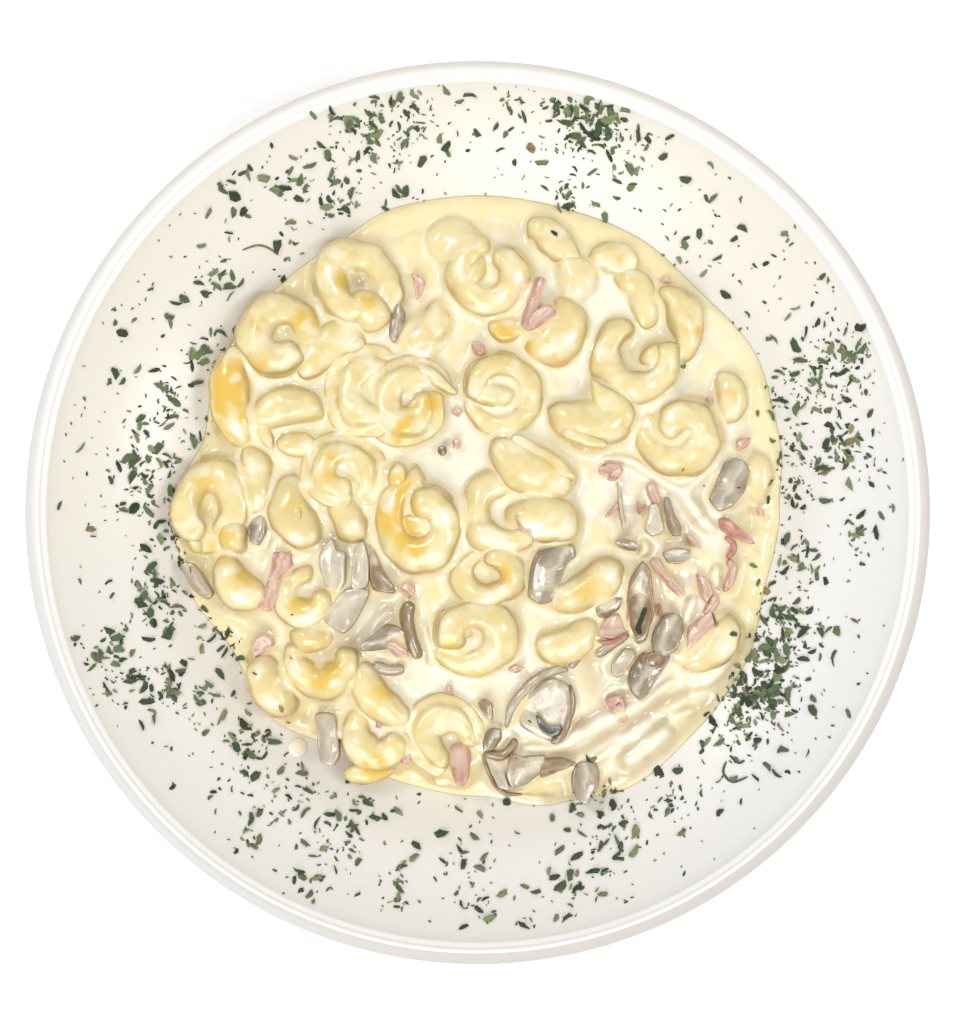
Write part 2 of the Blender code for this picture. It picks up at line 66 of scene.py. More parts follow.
# ---------------------------------------------------------------- the plate
WELL_RADIUS = 70 * MM
WELL_HEIGHT = 6 * MM
WALL_END = 132.5 * MM
WALL_RISE = 28.5 * MM
WALL_THICKNESS = 4.5 * MM
PLATE_TURNS = 240
INNER_RINGS = (0, 20, 40, 55, 64, 70, *np.linspace(73, 132.5, 26))
OUTER_RINGS = np.linspace(130, 90, 14)
LIP_SECTION = ((133.4, 35.6), (134.1, 36.9), (134.7, 37.75), (135.2, 38.3), (135.7, 38.55),
               (136.2, 38.62), (136.8, 38.42), (137.6, 37.9), (138.4, 37.2), (139.1, 36.4),
               (139.6, 35.7), (139.95, 35.0), (140.0, 34.2), (139.7, 33.4), (138.6, 32.2))
FOOT_SECTION = ((88.0, 3.4), (86.4, 2.1), (85.4, 0.7), (84.6, 0.05), (83.0, 0.0), (81.6, 0.05),
                (80.6, 0.8), (79.6, 1.8), (78.0, 2.0), (0.0, 2.0))
LIP_BAND_SHARE = 0.9
LIP_HIGHLIGHT_GLOW = 0.12
# Sides of the painted light and shade, and of the painted cool reflections on lip and wall;
# the longer, the sharper the change across the plate.
LIGHT_SIDE = (1.2, -6.2, 0.0)
LIP_REFLECTION_SIDE = (-7.0, -2.0, 0.0)
WALL_REFLECTION_SIDE = (6.6, -2.6, 0.0)

# ---------------------------------------------------------------- the food
HEAP_EDGE_TOP = 15 * MM
HEAP_CROWN = 3 * MM
HEAP_REACH = 92 * MM
# How far the cream reaches at even steps round the bowl, in millimetres, starting at +X.
POOL_EDGE = (97.8, 100.7, 103.3, 101.4, 103.0, 102.4, 102.7, 102.4, 98.5, 98.0, 97.0, 92.6,
             99.4, 96.8, 91.6, 94.5, 89.6, 91.3, 92.3, 97.8, 101.4, 99.8, 99.4, 96.2)

# x, y: middle. turn: direction of the gap between the ends. curl: degrees of arc. reach: half the
# width. belly: half the thickness. tilt, lean: tipped by tilt towards lean. lift: above the core.
# coat: how deep it lies in cream, from 0 for bare to 1 for drowned. wind: how far the second end
# winds in. stretch: length along turn over width. flare: slope of the brim.
Cappelletto = namedtuple(
    "Cappelletto", "x y turn curl reach belly tilt lean lift coat wind stretch flare",
    defaults=(0, 0, 1, -18))
CAPPELLETTI = [Cappelletto(*row) for row in (
    (-38.4, 72.9, -62, 345, 14.1, 5.2, 6, 110, 2.6, 0, 0.12, 1.18),
    (-63.3, 56.1, -45, 335, 14.3, 5.9, 8, 140, 2.8, 0, 0.1, 1.08),
    (-79, 36.4, 5, 45, 16.4, 6.3, 10, 180, 2.4, 0, 0, 1, 30),
    (-46.8, 51.2, -55, 40, 13.2, 6.1, 4, 60, 1.6, 0.1),
    (-60.9, 32.4, -82, 55, 12.2, 6.2, 6, 150, 2.2),
    (-38.6, 37.3, 0, 200, 13.1, 4.8, 8, 180, 1.4, 0, 0, 1, 14),
    (-22.4, 33.8, 18, 345, 14.7, 5.2, 4, 190, 2.8, 0, 0.2, 1, 14),
    (-42.8, 11.9, -62, 320, 13.5, 5.1, 5, 100, 2.2, 0.1, 0.15, 0.98, 14),
    (-41.6, -1.4, 20, 30, 10.8, 5.1, 0, 0, 2),
    (-70.4, 9, 180, 55, 11.4, 5.1, 0, 0, 1.6, 0.1),
    (-58.6, -0.9, 18, 40, 12.6, 6.6, 4, 190, 2.2),
    (-85.4, 0.4, -105, 340, 13.1, 4.7, 5, 180, 2.2, 0, 0.15, 1.32),
    (-78.2, -8.8, 0, 40, 6.2, 4.5, 0, 0, 2.2),
    (-75.4, -23.3, 45, 70, 10.6, 6, 6, 230, 1.8),
    (-55.5, -28.3, 45, 250, 10.5, 4.3, 5, 230, 2, 0, 0.05, 1.05),
    (-19.3, -4.4, 95, 350, 15.1, 5.1, 5, 270, 2.8, 0, 0.28, 1.16),
    (7.7, 35.9, 178, 352, 14.5, 4.4, 5, 0, 2.2, 0.1, 0.05, 0.94),
    (3.1, 74.9, 80, 310, 14.5, 5.4, 5, 270, 2.4, 0.2, 0.16),
    (-8.5, 87.2, -75, 20, 7.8, 6.6, 4, 90, -2.4, 0.9),
    (24.4, 86, 220, 16, 10.8, 5, 4, 40, 0.8, 0.1),
    (31.9, 74.3, 200, 10, 6.6, 5, 0, 0, 0, 0.9),
    (43.6, 80.8, -105, 30, 8.6, 5.2, 4, 80, 0.4, 0.1),
    (51.2, 67.7, 210, 70, 11, 4.8, 5, 40, 0.8, 0.1),
    (66, 59.2, 192, 80, 13, 5.6, 6, 10, 2, 0.1),
    (25.4, 56.8, 150, 36, 12.2, 8.4, 5, 320, -0.4, 0.1),
    (9.1, 57.2, 90, 40, 6.2, 4.1, 0, 0, 1.4),
    (50.1, 47.6, 62, 255, 15.3, 5.3, 5, 250, 2.6, 0.1, 0.08),
    (36.4, 26.8, 92, 60, 14.8, 7.6, 5, 90, 1.4, 0.1, 0, 1, 30),
    (63.8, 22.1, 150, 345, 14.1, 5.6, 5, 300, 2.4, 0.2, 0.28),
    (81.4, 35.6, 180, 30, 8.4, 4.8, 4, 0, 0.6, 0.1),
    (17.6, 12.7, 62, 40, 15.4, 7.4, 6, 240, 2.4, 0, 0, 1, 30),
    (5.6, -1.6, 15, 215, 13.9, 5, 5, 200, 2.2, 0.1),
    (20.4, -3.4, -95, 30, 12.4, 7.8, 4, 90, 1.8, 0.2),
    (3.5, -22.4, 100, 320, 13.3, 4.9, 5, 270, 2.6, 0, 0.1, 0.8),
    (-0.3, -40.9, 200, 340, 13.3, 5, 4, 270, 2.4, 0.1, 0.18, 1.14),
    (34.9, -24.3, 122, 30, 13, 6.2, 4, 300, 2),
    (28.4, -42.4, 115, 30, 11.2, 6.1, 4, 300, 2, 0.1),
    (-50, -51.9, 85, 190, 11.5, 4.7, 6, 270, 1.8),
    (-65.6, -56.2, 30, 36, 11.2, 6.3, 5, 210, 1.6, 0.1),
    (-30.8, -59, 42, 44, 13, 5.7, 5, 220, 2.2),
    (-32.6, -73.6, 60, 180, 11.1, 4.8, 5, 250, 2, 0.1),
    (-10.3, -71.6, -50, 245, 12.7, 4.7, 5, 140, 2.4, 0.2, 0.05, 1.1, 16),
    (73.2, -43.4, 128, 50, 12.4, 5.5, 4, 310, 1, 0.4),
    (91, 10.6, 180, 45, 7, 3, 4, 0, -1, 0.9),
    (-16.6, 58.2, 140, 45, 9.6, 5.6, 0, 0, 0.4, 0.6),
    (-52.4, -41.2, 100, 40, 8, 4.9, 0, 0, 1.2, 0.3),
)]
# A whole curl's section: places round its belly, along the brim and across it, over half the
# thickness.
BELLY_SECTION = ((0.98, 0.4), (0.66, 0.84), (0, 1), (-0.66, 0.78), (-0.92, 0.1), (-0.66, -0.72),
                 (0, -1), (0.66, -0.84), (0.98, -0.4))
SHORT_BRIM = 0.9 * MM
LONG_BRIM = 1.9 * MM
BRIM_THICKNESS = 1.3 * MM
# From this curl on a cappelletto shows its whole ring, and below it a bean.
RING_CURL = 180
RING_TAPER = 0.30
TAPER_POWER = 2.4
RING_RISE = 1.8 * MM
BELLY_SWELL = 0.05
BELLY_SWELLS = 5.3
STATION_STEP = 6.5
LEAST_STATIONS = 14
SECTION_POINTS = 30
CAP_RINGS = 4
CAP_SPACING = 0.001
CAP_OPENING = 0.35
CAP_BULGE = 0.8
MOON_RINGS = 26
MOON_SIDES = 40
MOON_WIDENING = 1.12
MOON_BLUNT = 2.35
MOON_SQUARE = 2.1
MOON_CREASE = 0.5 * MM
CREASE_SIDE = 0.5
CREASE_WIDTH = 0.17
BEND_MIDDLE = 0.4
STRAND_STEPS = 8
STRAND_SIDES = 14
STRAND_BLUNT = 4
STRAND_TIP = 0.02

# The dough's unevenness: size and height of coarse and fine ripples, and how far a piece's seed
# shifts them.
DOUGH_SEED = 3
RIPPLE_SIZE = 9 * MM
RIPPLE_HEIGHT = 1.1
FINE_RIPPLE_SIZE = 3.5 * MM
FINE_RIPPLE_HEIGHT = 0.3
RIPPLE_SHIFT = (3.1, 1.7, 0.9)
STRAND_RIPPLE = 0.7
SLICE_RIPPLE = (0.6, 0.4)
# The first seed of each table's rows.
LOBE_SEED = 100
MUSHROOM_SEED = 200
MUSHROOM_FOLD_SEED = 250
HAM_SEED = 300
HAM_FOLD_SEED = 350
RIDGE_SEED = 400

# Loose ends and folds of dough that lie on the cappelletti: x, y: middle. turn: direction of the
# far end. length, width, thickness: size. lift: middle above the core. point: how much narrower
# the far end is. coat: as above.
Lobe = namedtuple("Lobe", "x y turn length width thickness lift point coat", defaults=(0, 0))
LOBES = [Lobe(*row) for row in (
    (-34.6, 63, -40, 14, 12.4, 8, 5),
    (-13.4, 41.2, -35, 17, 6.4, 5.4, 5, 0.3),
    (-20.6, 31.8, 60, 9, 5, 5, 5.4, 0.4),
    (-18.6, -5.9, -12, 12, 9, 7, 4.6, 0.1),
    (-25.2, 10.2, 80, 9, 8, 7, 4.6, 0.3),
    (4, 36.4, 172, 17, 9.4, 8, 3.8, 0.3),
    (-90.6, -7.4, 100, 14, 8.4, 8, 2.6, 0.2),
    (41.6, 33.4, 128, 20, 15, 8, 5.4, 0.75),
    (57.6, 48.8, 15, 13, 9, 7, 4.2, 0.2, 0.1),
    (-42, 8.4, -20, 11, 7, 6, 4.2, 0.2, 0.2),
    (-2.2, 74, 58, 17, 9, 7, 4.4, 0.3, 0.2),
    (8, -18, -70, 9, 5, 5, 4.4, 0.3),
    (-4, -37.8, 30, 12, 9, 7, 4, 0.2),
    (61, 24.4, 120, 9, 8, 6, 4.4, 0.1, 0.2),
    (-34, -83.6, 10, 16, 8, 7, 1.4, 0.1),
    (-7, -83, 30, 15, 9, 7, 0.8, 0.1, 0.4),
    (-57.8, 20.6, -12, 13, 9, 6, 3.6, 0.1),
    (-69, 25, -62, 14, 6, 6, 2.6, 0.1),
    (-42.5, 54, -10, 13, 9, 6, 3.4, 0.2),
    (20.6, 15.6, -34, 25, 7, 5, 6.2, 0.2),
    (-57.4, -2, 70, 12, 6, 5, 5.6, 0.3),
    (-2, 73, 95, 13, 6, 6, 4.4, 0.2),
    (33.4, 22.4, -20, 15, 5.6, 5, 6.4, 0.2),
)]

# Mushroom slices and ham strips. lift: underside above the core. tone: from grey to brown, or
# from pale to deep pink. pale: from dark and wet to washed with cream. outline: the places round
# the slice, seen from above.
Slice = namedtuple("Slice", "thickness lift tone pale outline")
MUSHROOM_SLICES = [Slice(*row[:4], row[4:]) for row in (
    (4.6, 2, 0.3, 0.2, (-25.2, 65.4), (-23.4, 62), (-23.6, 57), (-26.5, 53.2), (-28.3, 55),
     (-28, 60), (-26.6, 64)),
    (5.4, 1.4, 0, 0.5, (73.2, 3), (75.7, 8.3), (78.9, 14.4), (82.6, 16.6), (85.9, 14.8),
     (86.7, 11.1), (85, 5), (81, 0.1), (76.5, -1.1)),
    (4.6, 1.4, 0, 0.2, (-70, -2), (-67.5, -3.5), (-67.2, -8), (-69.5, -11.8), (-72.6, -10.5),
     (-73.4, -6.5)),
    (6, 1, 0.2, 0.8, (-50.1, -15.8), (-49, -12.2), (-46.4, -9.2), (-44.9, -12.9), (-41.6, -14),
     (-42, -23.9), (-44.9, -28.3), (-48.2, -25.4), (-49.7, -20.2)),
    (6.6, 1.2, 0.1, 0.8, (-38.7, -12.5), (-35.7, -10.3), (-34.3, -15.8), (-34.1, -23.9),
     (-37.2, -27.6), (-40.2, -25.4), (-39.4, -18.4)),
    (5.4, 1.2, 0.9, 0.4, (-35, -11.4), (-32.4, -14), (-29.9, -19.5), (-25.8, -26.1),
     (-26.9, -27.2), (-32.8, -26.1), (-34.3, -22.4)),
    (6, 1.4, 0.3, 0.7, (-45.3, -29.1), (-41.6, -25.4), (-34.3, -25.8), (-34.3, -28.3),
     (-38.7, -36.4), (-42.7, -40.1), (-49, -36), (-48.2, -33.1)),
    (6, 1.4, 0.1, 0.2, (-28.4, -36.6), (-24.4, -37.6), (-21.6, -40.8), (-23, -46.4), (-28.4, -45),
     (-36.6, -45), (-37.2, -43), (-32.4, -39.7)),
    (4.2, 0.4, 0.6, 0.6, (-95, -17), (-91, -17.5), (-88, -21), (-84, -27.5), (-86, -29),
     (-91, -26), (-94.5, -21)),
    (5, 1, 0.5, 0.7, (-51.4, -65), (-45.6, -65.4), (-44.4, -71), (-43.2, -78), (-45.5, -81.6),
     (-49.7, -80.4), (-51, -73)),
    (6.2, 1.4, 0.5, 0.3, (19, -13.5), (30.1, -11.8), (31.2, -15.7), (27.9, -19), (23.5, -30),
     (19, -31.1), (15.7, -27.8), (16.3, -20.1)),
    (5.6, 1.2, 0.9, 0.5, (52, -17), (47.9, -23.5), (46.7, -30.5), (47.1, -38.6), (50.4, -43.5),
     (53.2, -41.9), (55.7, -32.5), (55.2, -26), (54.4, -20.3)),
    (6, 0.8, 0.1, 0.3, (54.4, -42.2), (56.1, -37.7), (59.3, -33.7), (62.6, -33.1), (65, -34.9),
     (65.2, -39), (63, -44.7), (59.3, -47.1), (55.7, -46.3)),
    (6.4, 0.8, 0.2, 0, (48.7, -50.4), (52, -45.6), (56.9, -45), (61, -46.4), (59.3, -50.4),
     (56.1, -55.3), (53.6, -59), (50.8, -60.6), (48.3, -58.1), (47.5, -54.5)),
    (4, 1.2, 0.3, 0.5, (13.6, -60.5), (18.6, -56), (24, -53.6), (28.6, -55.5), (29.6, -62.3),
     (27.4, -69.7), (23.6, -74.2), (19, -73), (13.6, -69.6), (11.6, -65)),
    (5, 1, 0.3, 0.5, (10.2, -77.5), (14.2, -79), (21.6, -78.2), (20.4, -83.6), (15.7, -87.3),
     (10.9, -88.4), (8.7, -84.4)),
    (4.6, 0.6, 0.1, 0.4, (30, -84.4), (31.1, -81.1), (34.1, -80), (37.7, -81.1), (38.7, -84.4),
     (38.5, -88), (36.6, -91.7), (34.1, -93.9), (31.1, -91.7), (29.9, -88)),
    (2.2, 5.4, 1.1, 0, (48.2, -29), (51, -26.6), (54, -29), (54.6, -34), (52.9, -39.6),
     (50.4, -41.7), (48.2, -37.6), (47.6, -32)),
    (2.6, 5.6, 1, 0, (53.6, -46), (57.5, -45.2), (59.2, -48), (56, -50.4), (53, -49.4)),
    (4.2, 2.4, 0.4, 1, (54.4, 0.9), (56.9, 1.3), (58.1, -4), (58.5, -8), (55.2, -9.7),
     (52.8, -7.2), (53.6, -3.1)),
    (4.4, 2.4, 0.8, 0.4, (59.7, 3.4), (61.4, 3), (62.6, -2.3), (64.6, -6.4), (64.2, -8.9),
     (61.8, -8.9), (60.1, -5.6), (59.1, -0.7)),
    (3.4, 2.6, 0, 0.2, (43.2, -10.9), (45.9, -9.9), (49.5, -10.3), (51, -12.1), (49.9, -13.8),
     (45.5, -12.9)),
    (3.4, 2.6, 0.5, 0.5, (58.7, -14), (63, -12.9), (67.3, -13.3), (67.1, -16.2), (64.6, -17.8),
     (60.6, -17.4)),
    (4.4, 1.8, 0.6, 0.9, (46.7, -44.3), (49.1, -44.7), (49.9, -46.7), (45.5, -52.8), (43.4, -53.7),
     (41.8, -52), (42.6, -48.8)),
    (5, 1.6, 0.6, 0.1, (37.1, -32.4), (38.9, -30.6), (43.8, -28), (46, -29.2), (44.6, -32.4),
     (40.2, -35), (38.1, -34.6)),
    (2, 4.4, 0, -1, (18.2, -65.2), (19.6, -67.4), (21.9, -69), (26.4, -68.4), (25.8, -70.9),
     (23.4, -72.1), (20.6, -71.1), (18.6, -68.4)),
    (5, 1.6, 0, 0.1, (1.2, -74.4), (2.1, -71.1), (4.7, -69.5), (7.4, -70), (7.3, -73.3),
     (4.7, -76.6), (1.8, -77)),
    (4.6, 0.8, 0.5, 0.8, (2.4, -79), (9, -79.4), (8.4, -84.4), (10, -88.6), (6.4, -88.4),
     (3.8, -84)),
    (3.6, 2, 1, 0.1, (20.6, -80), (26, -78.8), (30.8, -80.3), (27.5, -82.9), (23.8, -84.6),
     (19.8, -85.3)),
    (4, 1.6, 0.9, 0.4, (-0.1, -62.3), (2.1, -60.5), (4.7, -62.3), (4.3, -68.2), (2.1, -66)),
    (2.4, 2.6, 0.9, -0.4, (-12.4, 19.4), (-10.6, 19.6), (-10, 17.6), (-11.4, 16.4), (-12.8, 17.6)),
)]
HAM_SLICES = [Slice(*row[:4], row[4:]) for row in (
    (3, 1.8, 0.2, 0.5, (-21.2, 75.8), (-18.5, 75), (-16.6, 73), (-18.2, 68.4), (-19.6, 67.4),
     (-20.6, 72)),
    (3.6, 4.6, 0.4, 0.6, (19.2, 73.8), (21.8, 72.8), (20.8, 69.7), (18, 60), (16.7, 56.2),
     (13.6, 58.3), (15.1, 65.5)),
    (3.6, 3, 0.4, 0.3, (-64.9, -14.1), (-59.5, -14.1), (-59, -17.9), (-62.2, -21.1),
     (-63.3, -28.5), (-64.9, -32.8), (-68.1, -32.3), (-67, -25.3), (-65.4, -20)),
    (3.2, 2, 0.1, 0.6, (-72, -45), (-70, -41), (-66.5, -40.2), (-64.5, -43), (-67.5, -45.5),
     (-71, -47)),
    (3.2, 3.2, 0.4, 0.5, (-24.6, -70.5), (-21.8, -71.5), (-20.9, -76), (-21.4, -80.5),
     (-24.2, -80.8), (-25.4, -76)),
    (3.4, 3.4, 0.6, 0.3, (-8.6, -75.5), (-4.5, -74.4), (-2, -77.5), (-2.5, -84), (-4.2, -87.4),
     (-7, -86.5), (-8.8, -81)),
    (3.2, 1.8, 0.6, 0.3, (40.4, -60.6), (44.6, -59), (46.3, -61), (47.5, -67.5), (44.6, -67.9),
     (41.8, -63.4)),
    (3.4, 1.8, 0.8, 0.2, (76.7, -3.5), (79.7, -2.9), (82.6, -5.6), (88.7, -10.9), (86.7, -11.3),
     (81.4, -8.9), (77.3, -6.4)),
    (3.2, 2, 0.2, 0.5, (69.5, -21.1), (72.4, -21.9), (75, -25.2), (74.8, -27.6), (72.4, -30),
     (70.3, -27.6)),
    (3.2, 2.2, 0.2, 0.7, (54.4, -17.4), (56.9, -15.4), (59.3, -18.6), (62.6, -22.7), (65.7, -26.4),
     (64.6, -28), (61.8, -26.4), (58.5, -22.7)),
    (3.2, 3.2, 0.4, 0.3, (66.5, -37.3), (71.2, -33.7), (73.4, -32.2), (75, -36.5), (72.8, -39),
     (66.7, -45.5), (66.3, -41.8)),
    (3, 6.6, 0.4, 0.4, (17.7, 62.4), (22.8, 65), (24.9, 62.4), (18.7, 56.8), (15.1, 56.2)),
    (3, 2.4, 0.4, 0.4, (38.5, 12.8), (41, 14.6), (45.4, 13.6), (46.3, 11.5), (43.8, 8.8),
     (41.4, 9), (42.6, 11.2), (39, 11)),
    (3, 2.4, 0.1, 0.7, (53.4, 7), (55.4, 8.4), (57.6, 5.6), (58.1, 1.8), (55.4, 1.6), (53.8, 4)),
    (2.6, 2.6, 0.5, 0.4, (40.6, -2.6), (44.4, 1.6), (44.9, 0.4), (42, -2.8)),
    (2.6, 2.8, 0.9, 0, (50.6, 0.9), (52, 0.4), (53.6, 1.6), (52.6, -0.4), (51.3, -1.7)),
    (4.4, 1.8, 0.2, 0.4, (38.9, -37.7), (41, -34.2), (44.6, -33), (46.7, -38.2), (47.1, -40.2),
     (42.6, -41.4), (37.7, -40.8)),
    (2.6, 5.4, 0.3, 0.4, (-28.8, -43.4), (-26.9, -42.3), (-22.5, -44.9), (-21.8, -46.7),
     (-25.8, -47.1)),
    (3, 2.6, 0.3, 0.4, (-24.6, -26), (-22.6, -23.6), (-20, -24.4), (-19.8, -27.4), (-22.2, -28.4)),
    (2.6, 7, 0.4, 0.4, (11.5, -3), (14.5, -2.2), (17.3, -8), (15.5, -9.2), (12.5, -6.5)),
    (3.4, 2.4, 0.6, 0.2, (-2.4, 52.5), (0, 53.8), (2.2, 51.5), (1.6, 48.8), (-1.2, 49.2)),
    (2.4, 1.8, 0.6, 0.4, (83, 21.6), (87.4, 22.4), (86.4, 19.6), (83.4, 18.6)),
    (2.2, 1.6, 0.3, 0.5, (89.4, 0.4), (91.8, 0.2), (91.4, -2.4), (89.6, -2)),
    (2.4, 2.4, 0.3, 0.5, (9.6, -51.4), (12, -50), (15, -50.8), (12.4, -52.8)),
    (2.4, 2.2, 0.3, 0.6, (66, -8), (68.4, -8.4), (71.4, -13), (69, -12.4)),
    (2.2, 2.6, 0.4, 0.4, (-7.6, 32), (-5.2, 31), (-5.8, 29), (-8, 30)),
    (2.2, 2.6, 0.3, 0.4, (-8.6, 21.4), (-6, 21.8), (-6, 19.4), (-8, 19)),
    (2, 2.4, 0.4, 0.5, (73.6, 36), (75.2, 35.4), (74.8, 33), (73.4, 33.6)),
    (2, 2, 0.3, 0.6, (59, 74.4), (61.6, 75), (62, 73.4), (59.6, 73)),
    (2.2, 2.4, 0.6, 0.3, (-10, -56), (-8.2, -56.4), (-8, -59), (-9.8, -59)),
    (2.2, 3.2, 0.6, 0.3, (-32.4, -67), (-30.6, -67.4), (-31, -69.8), (-32.6, -69.4)),
)]
SLICE_POINTS = 36
SLICE_SOFTNESS = 0.5
SLICE_SLOPE = 0.22
# By how much a slice's slope along x and y turns with its seed.
SLICE_TURNS = (2.3, 1.7)
SLICE_SINK = 1.0 * MM
# A slice's rings: share of the way from its middle out to its outline, and height.
SLICE_PROFILE = ((0.05, -1.0), (0.6, -1.0), (0.92, -0.8), (1.0, 0.0), (0.99, 0.55), (0.955, 0.88),
                 (0.88, 1.0), (0.72, 0.98), (0.5, 0.84), (0.25, 0.74), (0.05, 0.72))
# How many solids the pieces of each kind stand for, and what the paints of both kinds read.
TOPPING_NODES = {"mushroom": 17, "ham": 10}
TOPPING_VALUES = ("tone", "pale", "side", "slope", "film")

# Curved strips: the places they pass, width, and the rest as for slices.
Strand = namedtuple("Strand", "path width thickness lift tone pale", defaults=(0, 0))
MUSHROOM_FOLDS = [Strand(*row) for row in (
    (((8.7, -70), (10.6, -63.1), (13.9, -58.6), (18.6, -54.2), (23.8, -52), (28.6, -51.7)), 2.8, 3,
     2.6, 0.4, 0.6),
    (((28.9, -55.9), (29.9, -62.3), (28.2, -67.5), (26.2, -72.4), (22.8, -74.6)), 2.4, 2.8, 2.8,
     0.8, 0.3),
    (((1.6, -78.1), (3.2, -83.6), (5.4, -88), (8.7, -90.6), (14.2, -90.8)), 1.5, 2, 1.4, 1, 0.1),
    (((1.8, -77.6), (7.3, -78.7), (10.6, -75.5), (11.9, -72.6)), 3, 2.6, 2.4, 1, 0.2),
    (((-21.5, -29.6), (-22.4, -35), (-21, -41), (-18.6, -47.6)), 4.6, 4.4, 2.2, 0.9, 0.1),
    (((36.5, -46.4), (41.4, -43.5), (47.9, -39.6)), 3.4, 3, 2.6, 0.7, 0.5),
    (((29.3, -50.2), (31, -48.2), (33.2, -45.4)), 2.6, 2.6, 2.6, 0.7, 0.5),
    (((44.2, 8.4), (45.2, 2.6), (45.8, -3.4), (46.3, -7.6)), 1.4, 2.4, 2.4, 0.5, 0.9),
    (((-33.4, -49.6), (-28, -51.4), (-23, -50.4)), 4, 3, 1.8, 0.6, 0.6),
)]
HAM_FOLDS = [Strand(*row) for row in (
    (((78.4, -8.8), (80.8, -11.2), (80.8, -14), (78.8, -16.2)), 2.2, 2.6, 2.2, 0.9, 0),
    (((79.5, -16.8), (81, -18.8), (80.4, -22), (78.2, -26.4)), 3, 2.8, 2, 0.5, 0.3),
    (((75.4, -27.6), (74.4, -31), (71.6, -33.6)), 3, 2.8, 2.4, 0.3, 0.4),
    (((37.6, -41.6), (42.6, -42.4), (47.6, -40.4)), 1.3, 2, 4.6, 1, 0),
    (((57, -30), (57.6, -32.4), (57.2, -34.6)), 1.4, 2, 3.2, 1, 0.1),
)]
# Ridges of thick cream, with the same columns.
CREAM_RIDGES = [Strand(*row) for row in (
    (((25, -75), (30, -72.6), (38, -68.6), (46, -65), (55, -59.6), (63, -54.5)), 4.4, 3, 1.4),
    (((45.4, -73.4), (50, -70.4), (54.6, -66.6)), 1.8, 2.6, 1.8),
    (((36.4, -80.4), (40, -77.8), (44.6, -74.4)), 1.8, 2.6, 1.6),
    (((44, -80.4), (50, -77.6), (56, -73.6), (61, -69.4)), 6.6, 4.4, 0.6),
    (((61.6, -67), (65.6, -65.6), (69.6, -63.6)), 2.2, 2.6, 1.2),
    (((39.4, -59.4), (43.6, -57), (48, -56.2), (50.8, -61)), 1.8, 2.6, 1.8),
    (((66, -57), (73, -53), (79, -46.6), (83, -38)), 6, 3.4, 0.4),
    (((13, -76.4), (22, -76.2), (31, -75)), 2.4, 2.6, 1.8),
    (((-38, 46.5), (-32, 48.6), (-24, 47.8), (-15, 50.2), (-10, 54)), 2.4, 3, 1.8),
    (((38, 16.6), (46.7, 15.8), (53, 12.6), (59.3, 8), (65, 5.6), (70.3, 8.8), (76, 14.6)), 2.8, 3,
     1.6),
    (((65, 5), (68.6, 0.4), (72, -4), (76, -8)), 4.4, 3, 1.4),
    (((52.6, -9.8), (54, -13.6), (51.4, -15.4)), 2.2, 3, 1.8),
    (((77, -18), (75.6, -22), (77, -26)), 3, 3, 1.4),
    (((69, -28), (67.6, -32), (65.8, -37)), 2.6, 3, 1.8),
    (((-17, -36), (-15.6, -43), (-14.6, -50)), 2.4, 3, 1.8),
    (((-27, -32), (-32, -36.4), (-35, -42)), 2.6, 2.6, 1.4),
    (((-32, -10.8), (-28.6, -16), (-25.6, -21)), 1.8, 3, 2),
    (((-62.6, 4), (-63.6, -7), (-66, -14)), 2.6, 3, 1.6),
    (((6, -92), (18, -94), (26, -93)), 4, 3, -0.4),
)]
# The drop on the plate's wall: x, y, width and height.
CREAM_DROP = (-57.9, -76.4, 6.2, 2.4)
DROP_WIDENING = 0.92
DROP_WHITE = 0.8

# Parsley: x, y and spread of each clump that shows, and its number of flakes.
PARSLEY_CLUMPS = (
    (-34, 120, 8, 130), (38, 121, 7, 150), (51, 112, 4, 20), (27, 103, 3, 12), (31, 99, 2, 10),
    (25, 134, 3, 10), (10, 128, 8, 30), (-14, 124, 6, 30), (98, 84, 2, 6), (118, 78, 2, 6),
    (115, 47, 6, 84), (111, 36, 5, 44), (103, 20, 5, 34), (102, 6, 4, 30), (97, 37, 3, 14),
    (116, 19, 5, 46), (126, 13, 3, 8), (120, -6, 3, 14), (102, -17, 4, 40), (98, -36, 5, 95),
    (95, -50, 5, 75), (89, -61, 5, 160), (82, -72, 5, 40), (81, -83, 4, 6), (62, -91, 4, 30),
    (40, -99, 7, 56), (37, -116, 5, 22), (23, -121, 4, 10), (16, -127, 2, 4), (1, -125, 3, 14),
    (-3, -115, 5, 28), (-24, -119, 4, 26), (-36, -98, 5, 16), (-45, -105, 5, 38),
    (-49, -115, 3, 12), (-57, -115, 2, 8), (-62, -90, 5, 26), (-70, -102, 3, 12),
    (-70, -83, 4, 22), (-80, -84, 3, 4), (-74, -74, 3, 36), (-88, -62, 5, 30), (-80, -41, 4, 26),
    (-100, -56, 5, 36), (-110, -56, 4, 34), (-116, -44, 4, 42), (-103, -27, 6, 74),
    (-98, -12, 4, 20), (-107, 2, 5, 30), (-102, 10, 4, 20), (-108, 14, 4, 24), (-106, 26, 5, 28),
    (-97, 30, 4, 12), (-100, 41, 4, 26), (-90, 50, 4, 16), (-107, 59, 4, 8), (-106, 68, 3, 3),
    (-84, 75, 4, 24), (-80, 101, 1, 4), (-60, 105, 4, 22), (-62, 86, 5, 4), (-42, 101, 4, 20),
)
